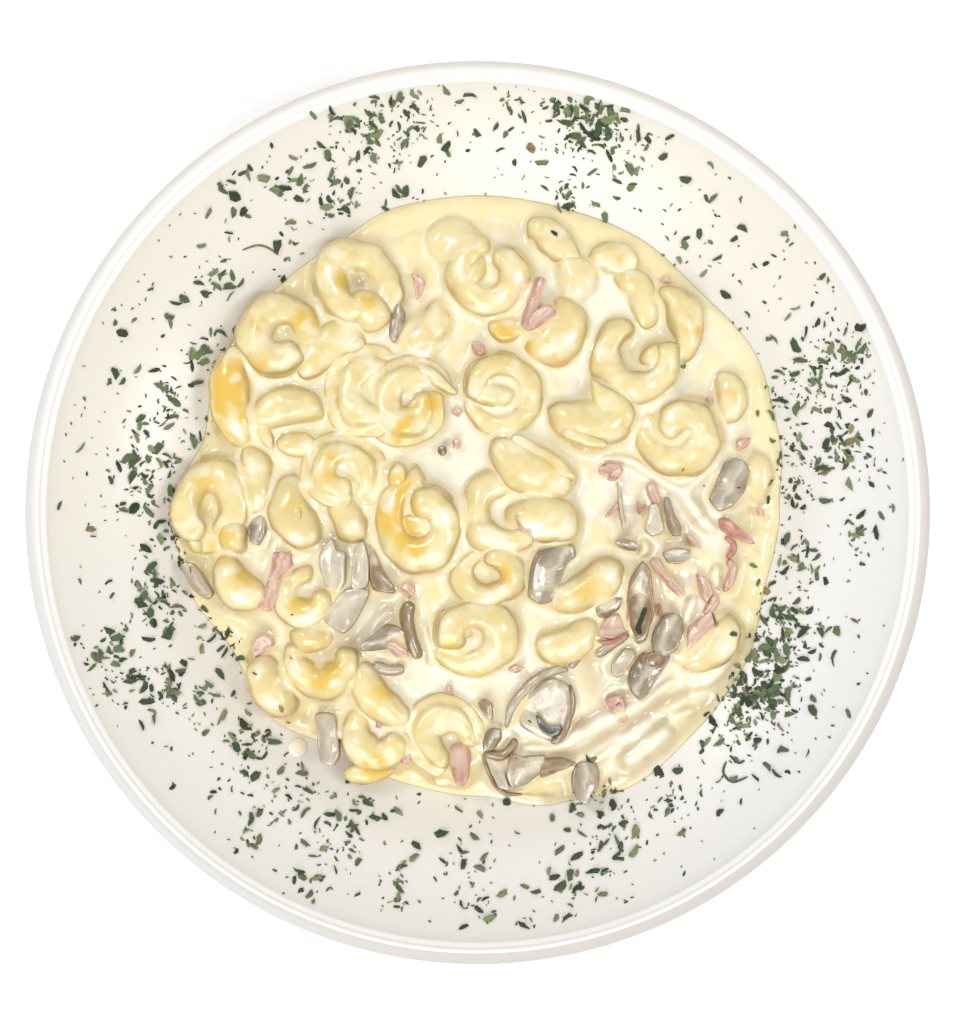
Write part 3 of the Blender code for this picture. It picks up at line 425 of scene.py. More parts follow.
# Flakes that lie on the food: x, y and size.
FLAKES_ON_FOOD = (
    (75, -35.2, 2.6), (81, -40, 1.8), (35.5, -80.3, 2.2), (36.6, -79.6, 1.6), (24.3, 88.7, 1.6),
    (65.9, 45.8, 1.4), (90.2, 30.8, 1.4), (-70.4, -52.4, 1.4), (-61.8, -63.6, 1.6),
    (-58.6, -33.9, 0.8), (72.4, 7.4, 0.6), (83, 6.4, 0.7), (40.3, 13.6, 1), (65, 11.9, 0.8),
    (88.7, -18.2, 1.6), (90.3, -23.6, 1.9), (93.6, 2.9, 2.2), (94, 8.4, 1.6), (96.7, 15.2, 1.6),
    (87.1, -40.6, 1.2), (81.8, -52.8, 1.3), (84, -50.8, 1.1), (76.9, -60.6, 1.6),
    (73.2, -65.5, 1.7), (-60.6, -68.4, 1.5), (-59, -47.7, 0.8), (16.4, -67.6, 0.8),
    (44.4, -62, 0.9), (-22.2, -43, 0.8), (60, 83, 1), (95, 22, 1.4), (-96, -18, 1.2),
)
# A dark green sprig in the brown slice, and on the plate's wall a brown stem and a curly stalk
# of two parts.
SPRIG = Strand(((51.4, -40), (50.4, -38.4), (51.4, -35.4), (52.8, -31.4)), 1.5, 0.8, 7)
STALKS = [Strand(*row) for row in (
    (((-76, 83.2), (-71.4, 85), (-68, 84.6), (-64.8, 82.5)), 0.7, 0.6, 0, 1),
    (((78.6, -80), (77.4, -83.6), (80, -86.2), (84.6, -84.4)), 0.8, 0.6, 0, 0.5),
    (((79.6, -78.2), (82, -80.4), (84, -79.6)), 0.8, 0.6, 0, 0.4),
)]
LOOSE_FLAKES = 780
FLAKE_RIM = 131 * MM
FLAKE_SIZE = (0.55 * MM, 2.9 * MM)
CLUMP_SIZE_POWER = 2.4
LOOSE_SIZE_POWER = 3.4
LOOSE_SPREAD_POWER = 0.95
FLAKE_THICKNESS = 0.16 * MM
FLAKE_OVERLAP = 5 * MM
RIM_OVERLAP = 2 * MM
RIM_SPREAD = 3
# A flake's number of corners, how unevenly they stand round it and how far it tips, in radians.
FLAKE_CORNERS = (6, 8)
FLAKE_JITTER = 0.25
FLAKE_TIP = 0.2
# In shares of its size: narrowness, hook, reach, wave, height of its middle, and the span over
# which it follows the ground.
FLAKE_NARROWNESS = (0.2, 0.62)
FLAKE_HOOK = 0.4
FLAKE_REACH = (0.6, 1.1)
FLAKE_WAVE = (-0.1, 0.25)
FLAKE_CROWN = 0.12
FLAKE_SPAN = 0.6
# Flakes this close to the pool's edge lie on the plate.
EDGE_GAP = 0.5 * MM
PARSLEY_SEED = 5

# Strong yellow patches where the dough shows without cream: x, y, radius and strength.
YOLK_PATCHES = (
    (-79, 42, 9, 0.8), (-79, 29, 9, 0.8), (-42, 72, 4, 1), (-34.5, 66, 3.5, 0.8),
    (-55, 60, 5, 0.9), (-71, 59, 5, 0.5), (-68, 45, 4, 0.6), (-24, 29, 4, 1), (-15, 32.5, 4, 0.9),
    (-24, 22, 4, 0.7), (-47, 13.5, 4, 0.7), (-25, 10, 4, 0.9), (-27, -3, 6, 1.2), (-24, 2, 5, 1),
    (-21, -13, 6, 0.9), (-75, -22, 7, 0.7), (-87, 8, 5, 0.5), (-84, -12, 5, 0.6),
    (-78, -9, 4, 0.5), (-56, -30, 6, 0.8), (9, 57, 6, 0.9), (15, 50, 4, 0.7), (-9, -44, 3.5, 1.1),
    (7, -21, 5, 0.9), (1, -25, 4, 0.6), (35, -26, 5, 0.6), (-50, -55, 6, 0.8), (-45, -49, 4, 0.5),
    (-29, -57, 5, 0.8), (-32, -82, 6, 0.9), (28, 46, 4, 0.8), (69, 58, 5, 0.8), (5, 43, 4, 0.5),
    (2, 32, 3.5, 0.7), (13, 36, 4, 0.5), (22, 13, 5, 0.5), (64, 12, 4, 0.5), (44, 80, 5, 0.6),
    (-9, 80, 4, 0.4), (83, 34, 4, 0.4), (-58, 24, 4, 0.4), (-4, -66, 5, 0.5), (-58, 1, 8, 0.4),
    (-88, -2, 7, 0.4), (-45, 8, 6, 0.3), (-52, -42, 6, 0.5), (-66, -56, 6, 0.3),
)
# Pools of pure white cream: x, y, radius and strength.
WHITE_POOLS = (
    (-7, 19, 12, 1.3), (40, 65, 9, 1.2), (14, 24, 7, 0.9), (-14, -60, 11, 1.1), (-31, -72, 5, 1.2),
    (33, 40, 7, 0.8), (44, 4, 9, 0.9), (52.6, -75.6, 7, 1.2), (72, -52, 7, 1), (48, -80, 20, 0.5),
    (-52, 16, 4, 0.6), (76, -10, 7, 0.7), (30, 4, 6, 0.7), (12, -52, 8, 0.9), (-63, 6, 4, 0.5),
    (-20, 48, 4, 0.6), (48, -60, 8, 0.8), (32, -71, 5, 0.9), (6, -92, 7, 0.7), (66, 4, 7, 0.8),
    (69, -33, 5, 0.8), (-33, -36, 6, 0.7), (80, 52, 12, 0.5), (60, 36, 8, 0.5), (10, 92, 10, 0.2),
    (86, 24, 8, 0.3), (22, 72, 6, 0.6),
)
# Where cream and dough are painted darker: painted shade in ring holes and hollows, and a beige
# tint where the cream is dulled by what lies under it, with the same columns.
BEIGE_POOLS = (
    (33, -69, 3, 0.4), (22, -80, 4, 0.6), (14, -84, 5, 0.6), (38, -58, 5, 0.5),
    (-38.6, 73.8, 3, 1.3), (-61, 58.4, 3, 0.9), (-60, 32, 7, 0.4), (44, 50, 6, 0.3),
    (36, -50, 5, 0.6), (48, -52, 6, 0.6), (56, -30, 6, 0.4), (50, -16, 6, 0.4), (62, -22, 5, 0.4),
    (-50, -43, 7, 1.1), (-38, -43, 6, 0.5), (-30, -32, 6, 0.6), (-45, -10, 5, 0.5),
    (-84, -30, 8, 0.5), (-70, -40, 7, 0.5), (-60, -68, 6, 0.5), (-48, -60, 6, 0.4),
    (5, -82, 6, 0.5), (-26, -20, 4, 0.5), (-68, 16, 5, 0.4), (-84, 24, 6, 0.4), (-58, -1, 9, 0.7),
    (0, -37, 9, 0.6), (18, 8, 8, 0.4), (-72, 3, 6, 0.5), (-86, 2, 7, 0.5), (-6, -74, 8, 0.6),
    (-34, -76, 6, 0.5),
)
# The same as bands of painted shade along the grooves between ridges, tinted by what lies under
# the cream: width, strength and the places passed.
BEIGE_BANDS = (
    (2.6, 0.9, ((26, -79), (34, -76.6), (41, -72), (50, -67.6), (58, -61.6), (66, -58.6))),
    (2.0, 0.7, ((47, -83), (45, -79), (52, -73), (60, -67))),
    (3.6, 0.8, ((22, -93), (34, -91), (44, -87), (53, -82), (61, -75), (68, -68), (76, -60),
                (83, -50), (88, -40))),
    (2.0, 0.6, ((30, -69), (37, -65), (45, -61.4), (52, -56))),
    (1.8, 0.6, ((46, -9), (50, -4), (51, 4))), (1.8, 0.6, ((60, -11), (66, -6), (72, -2))),
    (2.0, 0.6, ((62, -31), (65, -38), (62, -48))),
)


# ---------------------------------------------------------------- shader maths
class Value:
    """One output of a shader node, which Python operators turn into further nodes."""

    def __init__(self, paint, socket):
        self.paint = paint
        self.socket = socket

    def math(self, operation, *others):
        return self.paint.node("ShaderNodeMath", {"operation": operation}, (self, *others))

    def __add__(self, other):
        return self.math("ADD", other)

    def __radd__(self, other):
        return self.math("ADD", other)

    def __sub__(self, other):
        return self.math("SUBTRACT", other)

    def __rsub__(self, other):
        return self.paint.node("ShaderNodeMath", {"operation": "SUBTRACT"}, (other, self))

    def __mul__(self, other):
        return self.math("MULTIPLY", other)

    def __rmul__(self, other):
        return self.math("MULTIPLY", other)

    def at_least(self, other):
        return self.math("MAXIMUM", other)

    def step(self, low, high):
        """0 below low, 1 above high and smooth between."""
        return self.paint.node(
            "ShaderNodeMapRange", {"interpolation_type": "SMOOTHSTEP"},
            {"Value": self, "From Min": low, "From Max": high})


class Paint:
    """A material on a Principled shader, built with named finishes and Value expressions."""

    def __init__(self, name):
        self.material = bpy.data.materials.new(name)
        self.material.use_nodes = True
        self.tree = self.material.node_tree
        self.shader = self.tree.nodes["Principled BSDF"]

    def node(self, kind, settings=None, inputs=(), output=0):
        """Add any node: its settings first, then the values or links of its sockets."""
        made = self.tree.nodes.new(kind)
        for key, value in (settings or {}).items():
            if key == "stops":
                self.set_stops(made, value)
            else:
                setattr(made, key, value)
        pairs = inputs.items() if isinstance(inputs, dict) else enumerate(inputs)
        for key, value in pairs:
            self.feed(made.inputs[key], value)
        return Value(self, made.outputs[output])

    @staticmethod
    def set_stops(ramp, stops):
        """Give a ramp its stops, each a place from 0 to 1 and a display colour."""
        marks = ramp.color_ramp.elements
        while len(marks) < len(stops):
            marks.new(0.5)
        for mark, (place, colour) in zip(marks, stops):
            mark.position = place
            mark.color = (*linear(colour), 1.0)

    def feed(self, socket, value):
        """Link a socket to a value, or set it; a colour may be display text such as F6E9BB."""
        if isinstance(value, Value):
            self.tree.links.new(value.socket, socket)
        elif isinstance(value, str):
            socket.default_value = (*linear(value), 1.0)
        elif socket.type == "RGBA":
            socket.default_value = (*value, 1.0)
        else:
            socket.default_value = value

    def set(self, **values):
        """Set the shader's own sockets; underscores stand for spaces."""
        for name, value in values.items():
            self.feed(self.shader.inputs[name.replace("_", " ")], value)

    def mix(self, share, first, second):
        """Blend two colours by a share from 0 to 1."""
        sockets = {0: share, 6: first, 7: second}
        return self.node("ShaderNodeMix", {"data_type": "RGBA"}, sockets, 2)

    def ramp(self, place, *stops):
        """The colour at a place from 0 to 1 between stops."""
        return self.node("ShaderNodeValToRGB", {"stops": stops}, (place,))

    def place(self):
        """Where a point is on the object, in metres."""
        return self.node("ShaderNodeTexCoord", output=3)

    def noise(self, size, detail=3.0, roughness=0.5):
        """Soft cloudy pattern from 0 to 1 whose blotches are size metres across."""
        return self.node("ShaderNodeTexNoise", {"noise_dimensions": "3D"},
                         {"Vector": self.place(), "Scale": 1 / size, "Detail": detail,
                          "Roughness": roughness})

    def toward(self, side):
        """How far a point lies towards a side of the object."""
        return self.node("ShaderNodeVectorMath", {"operation": "DOT_PRODUCT"},
                         (self.place(), side), 1)

    def stored(self, name):
        """A value stored at the mesh's points."""
        return self.node("ShaderNodeAttribute", {"attribute_name": name}, output=2)

    def bump(self, height, depth, strength):
        """Raise the surface by a height from 0 to 1 times depth."""
        self.set(Normal=self.node("ShaderNodeBump", {},
                                  {"Height": height, "Distance": depth, "Strength": strength}))


def linear(hex_colour):
    """A display colour such as F6E9BB as linear red, green and blue."""
    parts = [int(hex_colour[i:i + 2], 16) / 255 for i in (0, 2, 4)]
    return tuple(p / 12.92 if p <= 0.04045 else ((p + 0.055) / 1.055) ** 2.4 for p in parts)


# ---------------------------------------------------------------- mesh helpers
def add(name, data):
    """A new object of the scene."""
    made = bpy.data.objects.new(name, data)
    bpy.context.scene.collection.objects.link(made)
    return made


def make_piece(name, points, faces, paint, stored):
    """A smooth mesh piece that rides on the object, with values stored at its points."""
    mesh = bpy.data.meshes.new(name)
    mesh.from_pydata(np.asarray(points).tolist(), [], faces)
    for key, values in stored.items():
        layer = mesh.attributes.new(key, "FLOAT", "POINT")
        layer.data.foreach_set("value", np.asarray(values, np.float32))
    mesh.shade_smooth()
    mesh.materials.append(paint.material)
    piece = add(name, mesh)
    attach(piece, "root")
    return piece


def faces_outward(grid):
    """Whether a tube's rings run so that its quads face outwards, from its signed volume."""
    middle = grid.reshape(-1, 3).mean(0)
    here = grid[:-1] - middle
    beside = np.roll(here, -1, axis=1)
    ahead = grid[1:] - middle
    return np.einsum("ijk,ijk->", here, np.cross(beside, ahead)) > 0


def closed_tube(grid, start=0):
    """Points and faces, numbered from start, of a tube closed by fans round its ends' middles."""
    if not faces_outward(grid):
        grid = grid[:, ::-1]
    rings, size = grid.shape[:2]
    top = start + (rings - 1) * size
    first, last = top + size, top + size + 1
    around_ring = [(corner, (corner + 1) % size) for corner in range(size)]
    faces = []
    for low in range(start, top, size):
        faces += [(low + here, low + after, low + size + after, low + size + here)
                  for here, after in around_ring]
    for here, after in around_ring:
        faces.append((start + after, start + here, first))
        faces.append((top + here, top + after, last))
    points = np.vstack([grid.reshape(-1, 3), grid[0].mean(0), grid[-1].mean(0)])
    return points, faces


# ---------------------------------------------------------------- forms shared with the solids
def around(table, angle):
    """Value in metres at an angle, from millimetres listed at even steps round the circle."""
    place = (np.asarray(angle) / math.tau) % 1.0 * len(table)
    index = np.floor(place).astype(int)
    blend = place - index
    blend = blend * blend * (3 - 2 * blend)
    values = np.array(table)
    first = values[index % len(table)]
    second = values[(index + 1) % len(table)]
    return (first + (second - first) * blend) * MM


def wall_run(radius):
    """How far out along the plate's wall a radius lies: 0 in the well, 1 at the wall's end."""
    return np.maximum(0.0, np.asarray(radius) - WELL_RADIUS) / (WALL_END - WELL_RADIUS)


def plate_inside(radius):
    """Height of the plate's inner face."""
    return WELL_HEIGHT + WALL_RISE * wall_run(radius) ** 2


def plate_slope(radius):
    """Slope of the plate's inner face, in radians."""
    return np.arctan(2 * WALL_RISE * wall_run(radius) / (WALL_END - WELL_RADIUS))


def core_top(x, y):
    """Height on which the pasta lies: a low dome."""
    share = np.minimum(1.0, np.hypot(x, y) / HEAP_REACH)
    return HEAP_EDGE_TOP + HEAP_CROWN * (1 - share ** 2)


def on_core(x, y, lift):
    """A place on the core, from a table's millimetres."""
    return np.array([x * MM, y * MM, core_top(x * MM, y * MM) + lift * MM])


# ---------------------------------------------------------------- plate and floor
def plate_section():
    """Points of the plate's section from the middle, over the lip and down to the foot."""
    section = [(r * MM, float(plate_inside(r * MM))) for r in INNER_RINGS]
    section += [(r * MM, z * MM) for r, z in LIP_SECTION]
    for radius in OUTER_RINGS * MM:
        slope = float(plate_slope(radius))
        section.append((radius + WALL_THICKNESS * math.sin(slope),
                        float(plate_inside(radius)) - WALL_THICKNESS * math.cos(slope)))
    return section + [(r * MM, z * MM) for r, z in FOOT_SECTION]


def glaze_paint():
    """White glaze, a touch warm, with painted light, shade and cool reflections; on the lip painted
    highlight lines inside a greyer band of painted shade.
    """
    paint = Paint("white_glaze")
    reach = paint.stored("reach")
    lit_share = paint.toward(LIGHT_SIDE)
    # Painted light: the wall is lighter towards one side.
    wall = paint.mix(lit_share.step(-0.8, 0.8), "ECE7DC", "F3EFE8")
    # Painted cool reflection on the wall towards one side.
    wall = paint.mix(paint.toward(WALL_REFLECTION_SIDE).step(0.4, 0.9) * 0.6, wall, "EDEEF2")
    # Painted shade on the wall round the food.
    wall = paint.mix((1 - reach.step(100, 116)) * 0.6, wall, "DAD5CC")
    # Painted highlight lines on the lip.
    highlight_lines = reach.step(133, 133.5) - reach.step(134.4, 134.6) * 0.6
    highlighted = paint.mix(highlight_lines + reach.step(134.9, 135.1) * 0.6, wall, "FFFFFF")
    # Painted shade on the lip's outer band, darker towards one side and greyer towards the edge.
    band_shade = paint.mix(lit_share.step(-1, 1), "F5EFE4", "C6C0B7")
    band = reach.step(135.7, 136.1) * LIP_BAND_SHARE
    band_shaded = paint.mix(reach.step(137, 139.6) * 0.3, paint.mix(band, highlighted, band_shade), "C4BEB5")
    # Painted cool reflection on one side of the lip.
    cool_reflection = paint.toward(LIP_REFLECTION_SIDE).step(0.2, 1.0) * reach.step(136, 138) * 0.6
    paint.set(Base_Color=paint.mix(cool_reflection, band_shaded, "DADFE6"), Roughness=0.3 + band * 0.4, IOR=1.5,
              Coat_Weight=0.15 - band * 0.15, Coat_Roughness=0.15)
    # A line on the lip glows as a painted highlight.
    glow_highlight = reach.step(133.2, 133.8) - reach.step(134.2, 134.6)
    paint.set(Emission_Color=paint.mix(glow_highlight, "000000", "FFFFFF"), Emission_Strength=LIP_HIGHLIGHT_GLOW)
    paint.bump(paint.noise(14 * MM, 1.5), 0.25 * MM, 0.35)
    return paint


def make_plate():
    """Turn the plate's section round the vertical axis."""
    section = plate_section()
    rings = section[1:-1]
    size = len(rings)
    points = [(0.0, 0.0, section[0][1])]
    for turn in range(PLATE_TURNS):
        angle = math.tau * turn / PLATE_TURNS
        points += [(r * math.cos(angle), r * math.sin(angle), z) for r, z in rings]
    last = len(points)
    points.append((0.0, 0.0, section[-1][1]))
    faces = []
    for turn in range(PLATE_TURNS):
        low = 1 + turn * size
        high = 1 + (turn + 1) % PLATE_TURNS * size
        faces.append((0, low, high))
        faces += [(low + step, low + step + 1, high + step + 1, high + step)
                  for step in range(size - 1)]
        faces.append((low + size - 1, last, high + size - 1))
    reach = [math.hypot(x, y) / MM for x, y, _ in points]
    plate = make_piece("plate", points, faces, glaze_paint(), {"reach": reach})
    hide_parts("dish")


# ---------------------------------------------------------------- height maps of the food
class HeightMap:
    """Heights over a square grid seen from above."""

    REACH = 110 * MM
    CELL = 0.4 * MM
    SIZE = int(2 * REACH / CELL) + 1
    EMPTY = -1.0
    FINE = 4        # places pressed along each side of a tube's quads

    def __init__(self, values=EMPTY):
        self.values = np.full((self.SIZE, self.SIZE), values) if np.ndim(values) == 0 else values

    @classmethod
    def places(cls):
        """The x and y of every cell."""
        line = np.linspace(-cls.REACH, cls.REACH, cls.SIZE)
        return np.meshgrid(line, line)

    def press(self, points):
        """Raise the map to points, given as an array of places."""
        index = np.rint((points[:, :2] + self.REACH) / self.CELL).astype(int)
        index = np.clip(index, 0, self.SIZE - 1)
        np.maximum.at(self.values, (index[:, 1], index[:, 0]), points[:, 2])

    def press_grid(self, grid):
        """Raise the map to a tube given as a grid of closed rings."""
        wrapped = np.concatenate([grid, grid[:, :1]], axis=1)
        shares = np.arange(self.FINE) / self.FINE
        for a in shares:
            low = wrapped[:-1] * (1 - a) + wrapped[1:] * a
            for b in shares:
                self.press((low[:, :-1] * (1 - b) + low[:, 1:] * b).reshape(-1, 3))

    def blurred(self, width):
        """The map smoothed by a bell of that width."""
        freq = np.fft.fftfreq(self.SIZE, self.CELL)
        bell = np.exp(-2 * (math.pi * width * freq) ** 2)
        wide = np.fft.fft2(self.values) * bell[:, None] * bell[None, :]
        return HeightMap(np.fft.ifft2(wide).real)

    def grown(self, width):
        """The map with each cell raised to the highest within that distance."""
        reach = round(width / self.CELL)
        best = self.values.copy()
        for down in range(-reach, reach + 1):
            for side in range(-reach, reach + 1):
                if math.hypot(down, side) <= reach:
                    best = np.maximum(best, np.roll(self.values, (down, side), axis=(0, 1)))
        return HeightMap(best)

    def at(self, x, y):
        """Heights at places between the cells."""
        px = np.clip((np.asarray(x) + self.REACH) / self.CELL, 0, self.SIZE - 1.001)
        py = np.clip((np.asarray(y) + self.REACH) / self.CELL, 0, self.SIZE - 1.001)
        ix, iy = px.astype(int), py.astype(int)
        fx, fy = px - ix, py - iy
        v = self.values
        low = v[iy, ix] * (1 - fx) + v[iy, ix + 1] * fx
        high = v[iy + 1, ix] * (1 - fx) + v[iy + 1, ix + 1] * fx
        return low * (1 - fy) + high * fy


# ---------------------------------------------------------------- cappelletti
def brim_section(belly, brim):
    """Corners of a cappelletto's section, as (along the brim, across it)."""
    tip = belly + brim
    edge = BRIM_THICKNESS / 2
    return np.array([(tip, -edge), (tip, edge), *np.array(BELLY_SECTION) * belly])


def spline(a, b, c, d, t):
    """The place at share t of the way from b to c on a smooth line through all four."""
    return 0.5 * (2 * b + (c - a) * t + (2 * a - 5 * b + 4 * c - d) * t ** 2
                  + (3 * b - a - 3 * c + d) * t ** 3)


def rounded(corners, count, soft=1.0):
    """A closed line through corners, as count points: smooth where soft is 1, straight at 0."""
    place = np.arange(count) / count * len(corners)
    index = place.astype(int)
    t = (place - index)[:, None]
    a, b, c, d = (corners[(index + k) % len(corners)] for k in (-1, 0, 1, 2))
    straight = b + (c - b) * t
    return straight + (spline(a, b, c, d, t) - straight) * soft


def ring_grid(piece, seed):
    """Rings of a cappelletto that shows its whole curl."""
    half = math.radians(piece.curl / 2)
    flare = math.radians(piece.flare)
    turn = math.radians(piece.turn)
    brim_length = LONG_BRIM if piece.flare > 0 else SHORT_BRIM
    spine = (piece.reach - piece.belly) * MM - brim_length
    shares = np.linspace(-1, 1, max(LEAST_STATIONS, round(piece.curl / STATION_STEP)))
    cap = np.sin(np.linspace(0, math.pi / 2, CAP_RINGS + 1)[1:]) * CAP_SPACING
    shares = np.concatenate([-1 - cap[::-1], shares, 1 + cap])
    rings = []
    for number, share in enumerate(shares):
        inner = min(1.0, max(-1.0, share))
        over = max(0, CAP_RINGS - number, number - (len(shares) - 1 - CAP_RINGS))
        belly = piece.belly * MM * (1 - RING_TAPER * abs(inner) ** TAPER_POWER)
        belly *= 1 + BELLY_SWELL * math.sin(BELLY_SWELLS * inner + seed)
        section = rounded(brim_section(belly, brim_length), SECTION_POINTS)
        fold = math.pi / 2 * over / (CAP_RINGS + CAP_OPENING)
        slide = math.sin(fold) * belly * CAP_BULGE
        angle = turn + math.pi + inner * half
        out = np.array([math.cos(angle), math.sin(angle), 0.0])
        onward = np.array([-math.sin(angle), math.cos(angle), 0.0]) * math.copysign(1, share)
        brim = out * math.cos(flare) + np.array([0, 0, math.sin(flare)])
        across = np.array([0, 0, math.cos(flare)]) - out * math.sin(flare)
        distance = spine * (1 - piece.wind * (inner + 1))
        ring = (out * distance + onward * slide
                + math.cos(fold) * (section[:, :1] * brim + section[:, 1:] * across))
        ring[:, 2] += RING_RISE * inner
        rings.append(ring)
    grid = np.array(rings)
    spans = np.ptp(grid.reshape(-1, 3)[:, :2], axis=0)
    return grid * 2 * piece.reach * MM / spans.mean()


def moon_grid(piece):
    """Rings of a cappelletto that shows as a bean, its hollow side towards its turn."""
    bend = math.tan(math.radians(piece.curl / 4)) / 2
    crease = MOON_CREASE if piece.flare > 0 else 0.0
    grid = bar_grid(2 * piece.reach * MM, 2 * piece.belly * MOON_WIDENING * MM,
                    2 * piece.belly * MM, 0.0, bend, MOON_BLUNT, MOON_RINGS, MOON_SIDES,
                    crease, MOON_SQUARE)
    return grid @ spin(piece.turn - 90).T


def cappelletto_grid(piece, seed):
    """The rings of one cappelletto, tipped and set down on the core."""
    grid = ring_grid(piece, seed) if piece.curl >= RING_CURL else moon_grid(piece)
    turn = math.radians(piece.turn)
    along = np.array([math.cos(turn), math.sin(turn), 0.0])
    grid = grid + along * ((grid @ along)[..., None] * (piece.stretch - 1))
    flat = grid.reshape(-1, 3)
    middle = (flat.min(0) + flat.max(0)) / 2
    middle[2] = 0.0
    lean = math.radians(piece.lean)
    tip = Matrix.Rotation(math.radians(piece.tilt), 3, (-math.sin(lean), math.cos(lean), 0.0))
    grid = ripple(grid - middle, seed) @ np.array(tip).T
    return grid + on_core(piece.x, piece.y, piece.lift)


def ripple(grid, seed, amount=1.0, rough=FINE_RIPPLE_HEIGHT):
    """Make a form uneven, as soft dough is."""
    shift = Vector([seed * way for way in RIPPLE_SHIFT])
    flat = grid.reshape(-1, 3)
    moved = [noise.noise_vector(Vector(point) / RIPPLE_SIZE + shift) for point in flat]
    fine = [noise.noise_vector(Vector(point) / FINE_RIPPLE_SIZE - shift) for point in flat]
    flat = flat + (np.array(moved) * RIPPLE_HEIGHT + np.array(fine) * rough) * MM * amount
    return flat.reshape(grid.shape)


def spin(degrees):
    """The turn round Z as a matrix."""
    c, s = math.cos(math.radians(degrees)), math.sin(math.radians(degrees))
    return np.array([(c, -s, 0), (s, c, 0), (0, 0, 1)])


def bar_grid(length, width, thickness, point=0.0, bend=0.0, blunt=2.0, rings=20, size=22,
             crease=0.0, square=2.0):
    """Rings of a bar along X: blunt at its ends, square in section, bent and creased."""
    shares = np.sin(np.linspace(-math.pi / 2, math.pi / 2, rings + 2)[1:-1])
    angles = np.arange(size) / size * math.tau
    wide = np.sign(np.cos(angles)) * np.abs(np.cos(angles)) ** (2 / square)
    high = np.sign(np.sin(angles)) * np.abs(np.sin(angles)) ** (2 / square)
    grid = np.zeros((rings, size, 3))
    for ring, share in enumerate(shares):
        full = (1 - abs(share) ** blunt) ** (1 / blunt)
        narrow = full * (1 - point * (share + 1) / 2)
        grid[ring, :, 0] = share * length / 2
        bent = bend * length * (share ** 2 - BEND_MIDDLE)
        grid[ring, :, 1] = wide * narrow * width / 2 + bent
        fold = np.exp(-((wide + CREASE_SIDE) / CREASE_WIDTH) ** 2) * (high > 0)
        grid[ring, :, 2] = high * full * thickness / 2 - crease * full * fold
    return grid[:, ::-1]


def lobe_grid(lobe, seed):
    """A loose end of dough, turned and set down on the core."""
    grid = bar_grid(lobe.length * MM, lobe.width * MM, lobe.thickness * MM, lobe.point)
    return ripple(grid, seed) @ spin(lobe.turn).T + on_core(lobe.x, lobe.y, lobe.lift)


def slice_grid(piece, seed):
    """Rings of a flat slice: under its outline, round its edge and up over its face."""
    line = rounded(np.array(piece.outline, float) * MM, SLICE_POINTS, SLICE_SOFTNESS)
    middle = line.mean(0)
    first, second = SLICE_TURNS
    slope = SLICE_SLOPE * np.array([math.sin(seed * first), math.cos(seed * second)])
    half = piece.thickness / 2
    level = core_top(*middle) + (piece.lift + half) * MM - SLICE_SINK
    rings = []
    for share, height in SLICE_PROFILE:
        flat = middle + (line - middle) * share
        tall = level + height * half * MM + (flat - middle) @ slope
        rings.append(np.column_stack([flat, tall]))
    return ripple(np.array(rings), seed, *SLICE_RIPPLE)


def strand_grid(strand, ground=core_top):
    """Rings of a strip along a smooth curved path over the core or another ground."""
    path = np.array([strand.path[0], *strand.path, strand.path[-1]], float) * MM
    places = [spline(*four, t) for four in zip(path, path[1:], path[2:], path[3:])
              for t in np.arange(STRAND_STEPS) / STRAND_STEPS]
    places = np.array([*places, path[-1]])
    onward = np.gradient(places, axis=0)
    side = np.stack([-onward[:, 1], onward[:, 0]], -1)
    side /= np.hypot(side[:, 0], side[:, 1])[:, None]
    shares = np.linspace(-1, 1, len(places))
    full = (1 - np.abs(shares) ** STRAND_BLUNT) ** 0.5 + STRAND_TIP
    angles = np.arange(STRAND_SIDES) / STRAND_SIDES * math.tau
    across = np.cos(angles)[None] * full[:, None] * strand.width / 2 * MM
    high = np.sin(angles)[None] * full[:, None] * strand.thickness / 2 * MM
    level = ground(places[:, 0], places[:, 1]) + (strand.lift + strand.thickness / 2) * MM
    flat = places[:, None] + side[:, None] * across[..., None]
    return np.concatenate([flat, (level[:, None] + high)[..., None]], axis=-1)


def strip_grid(strand, seed):
    """A curved strip, made uneven."""
    return ripple(strand_grid(strand), seed, STRAND_RIPPLE)


def seeded(form, rows, first_seed=0):
    """The grids of a table's rows, each with a seed of its own."""
    return [form(row, first_seed + number) for number, row in enumerate(rows)]


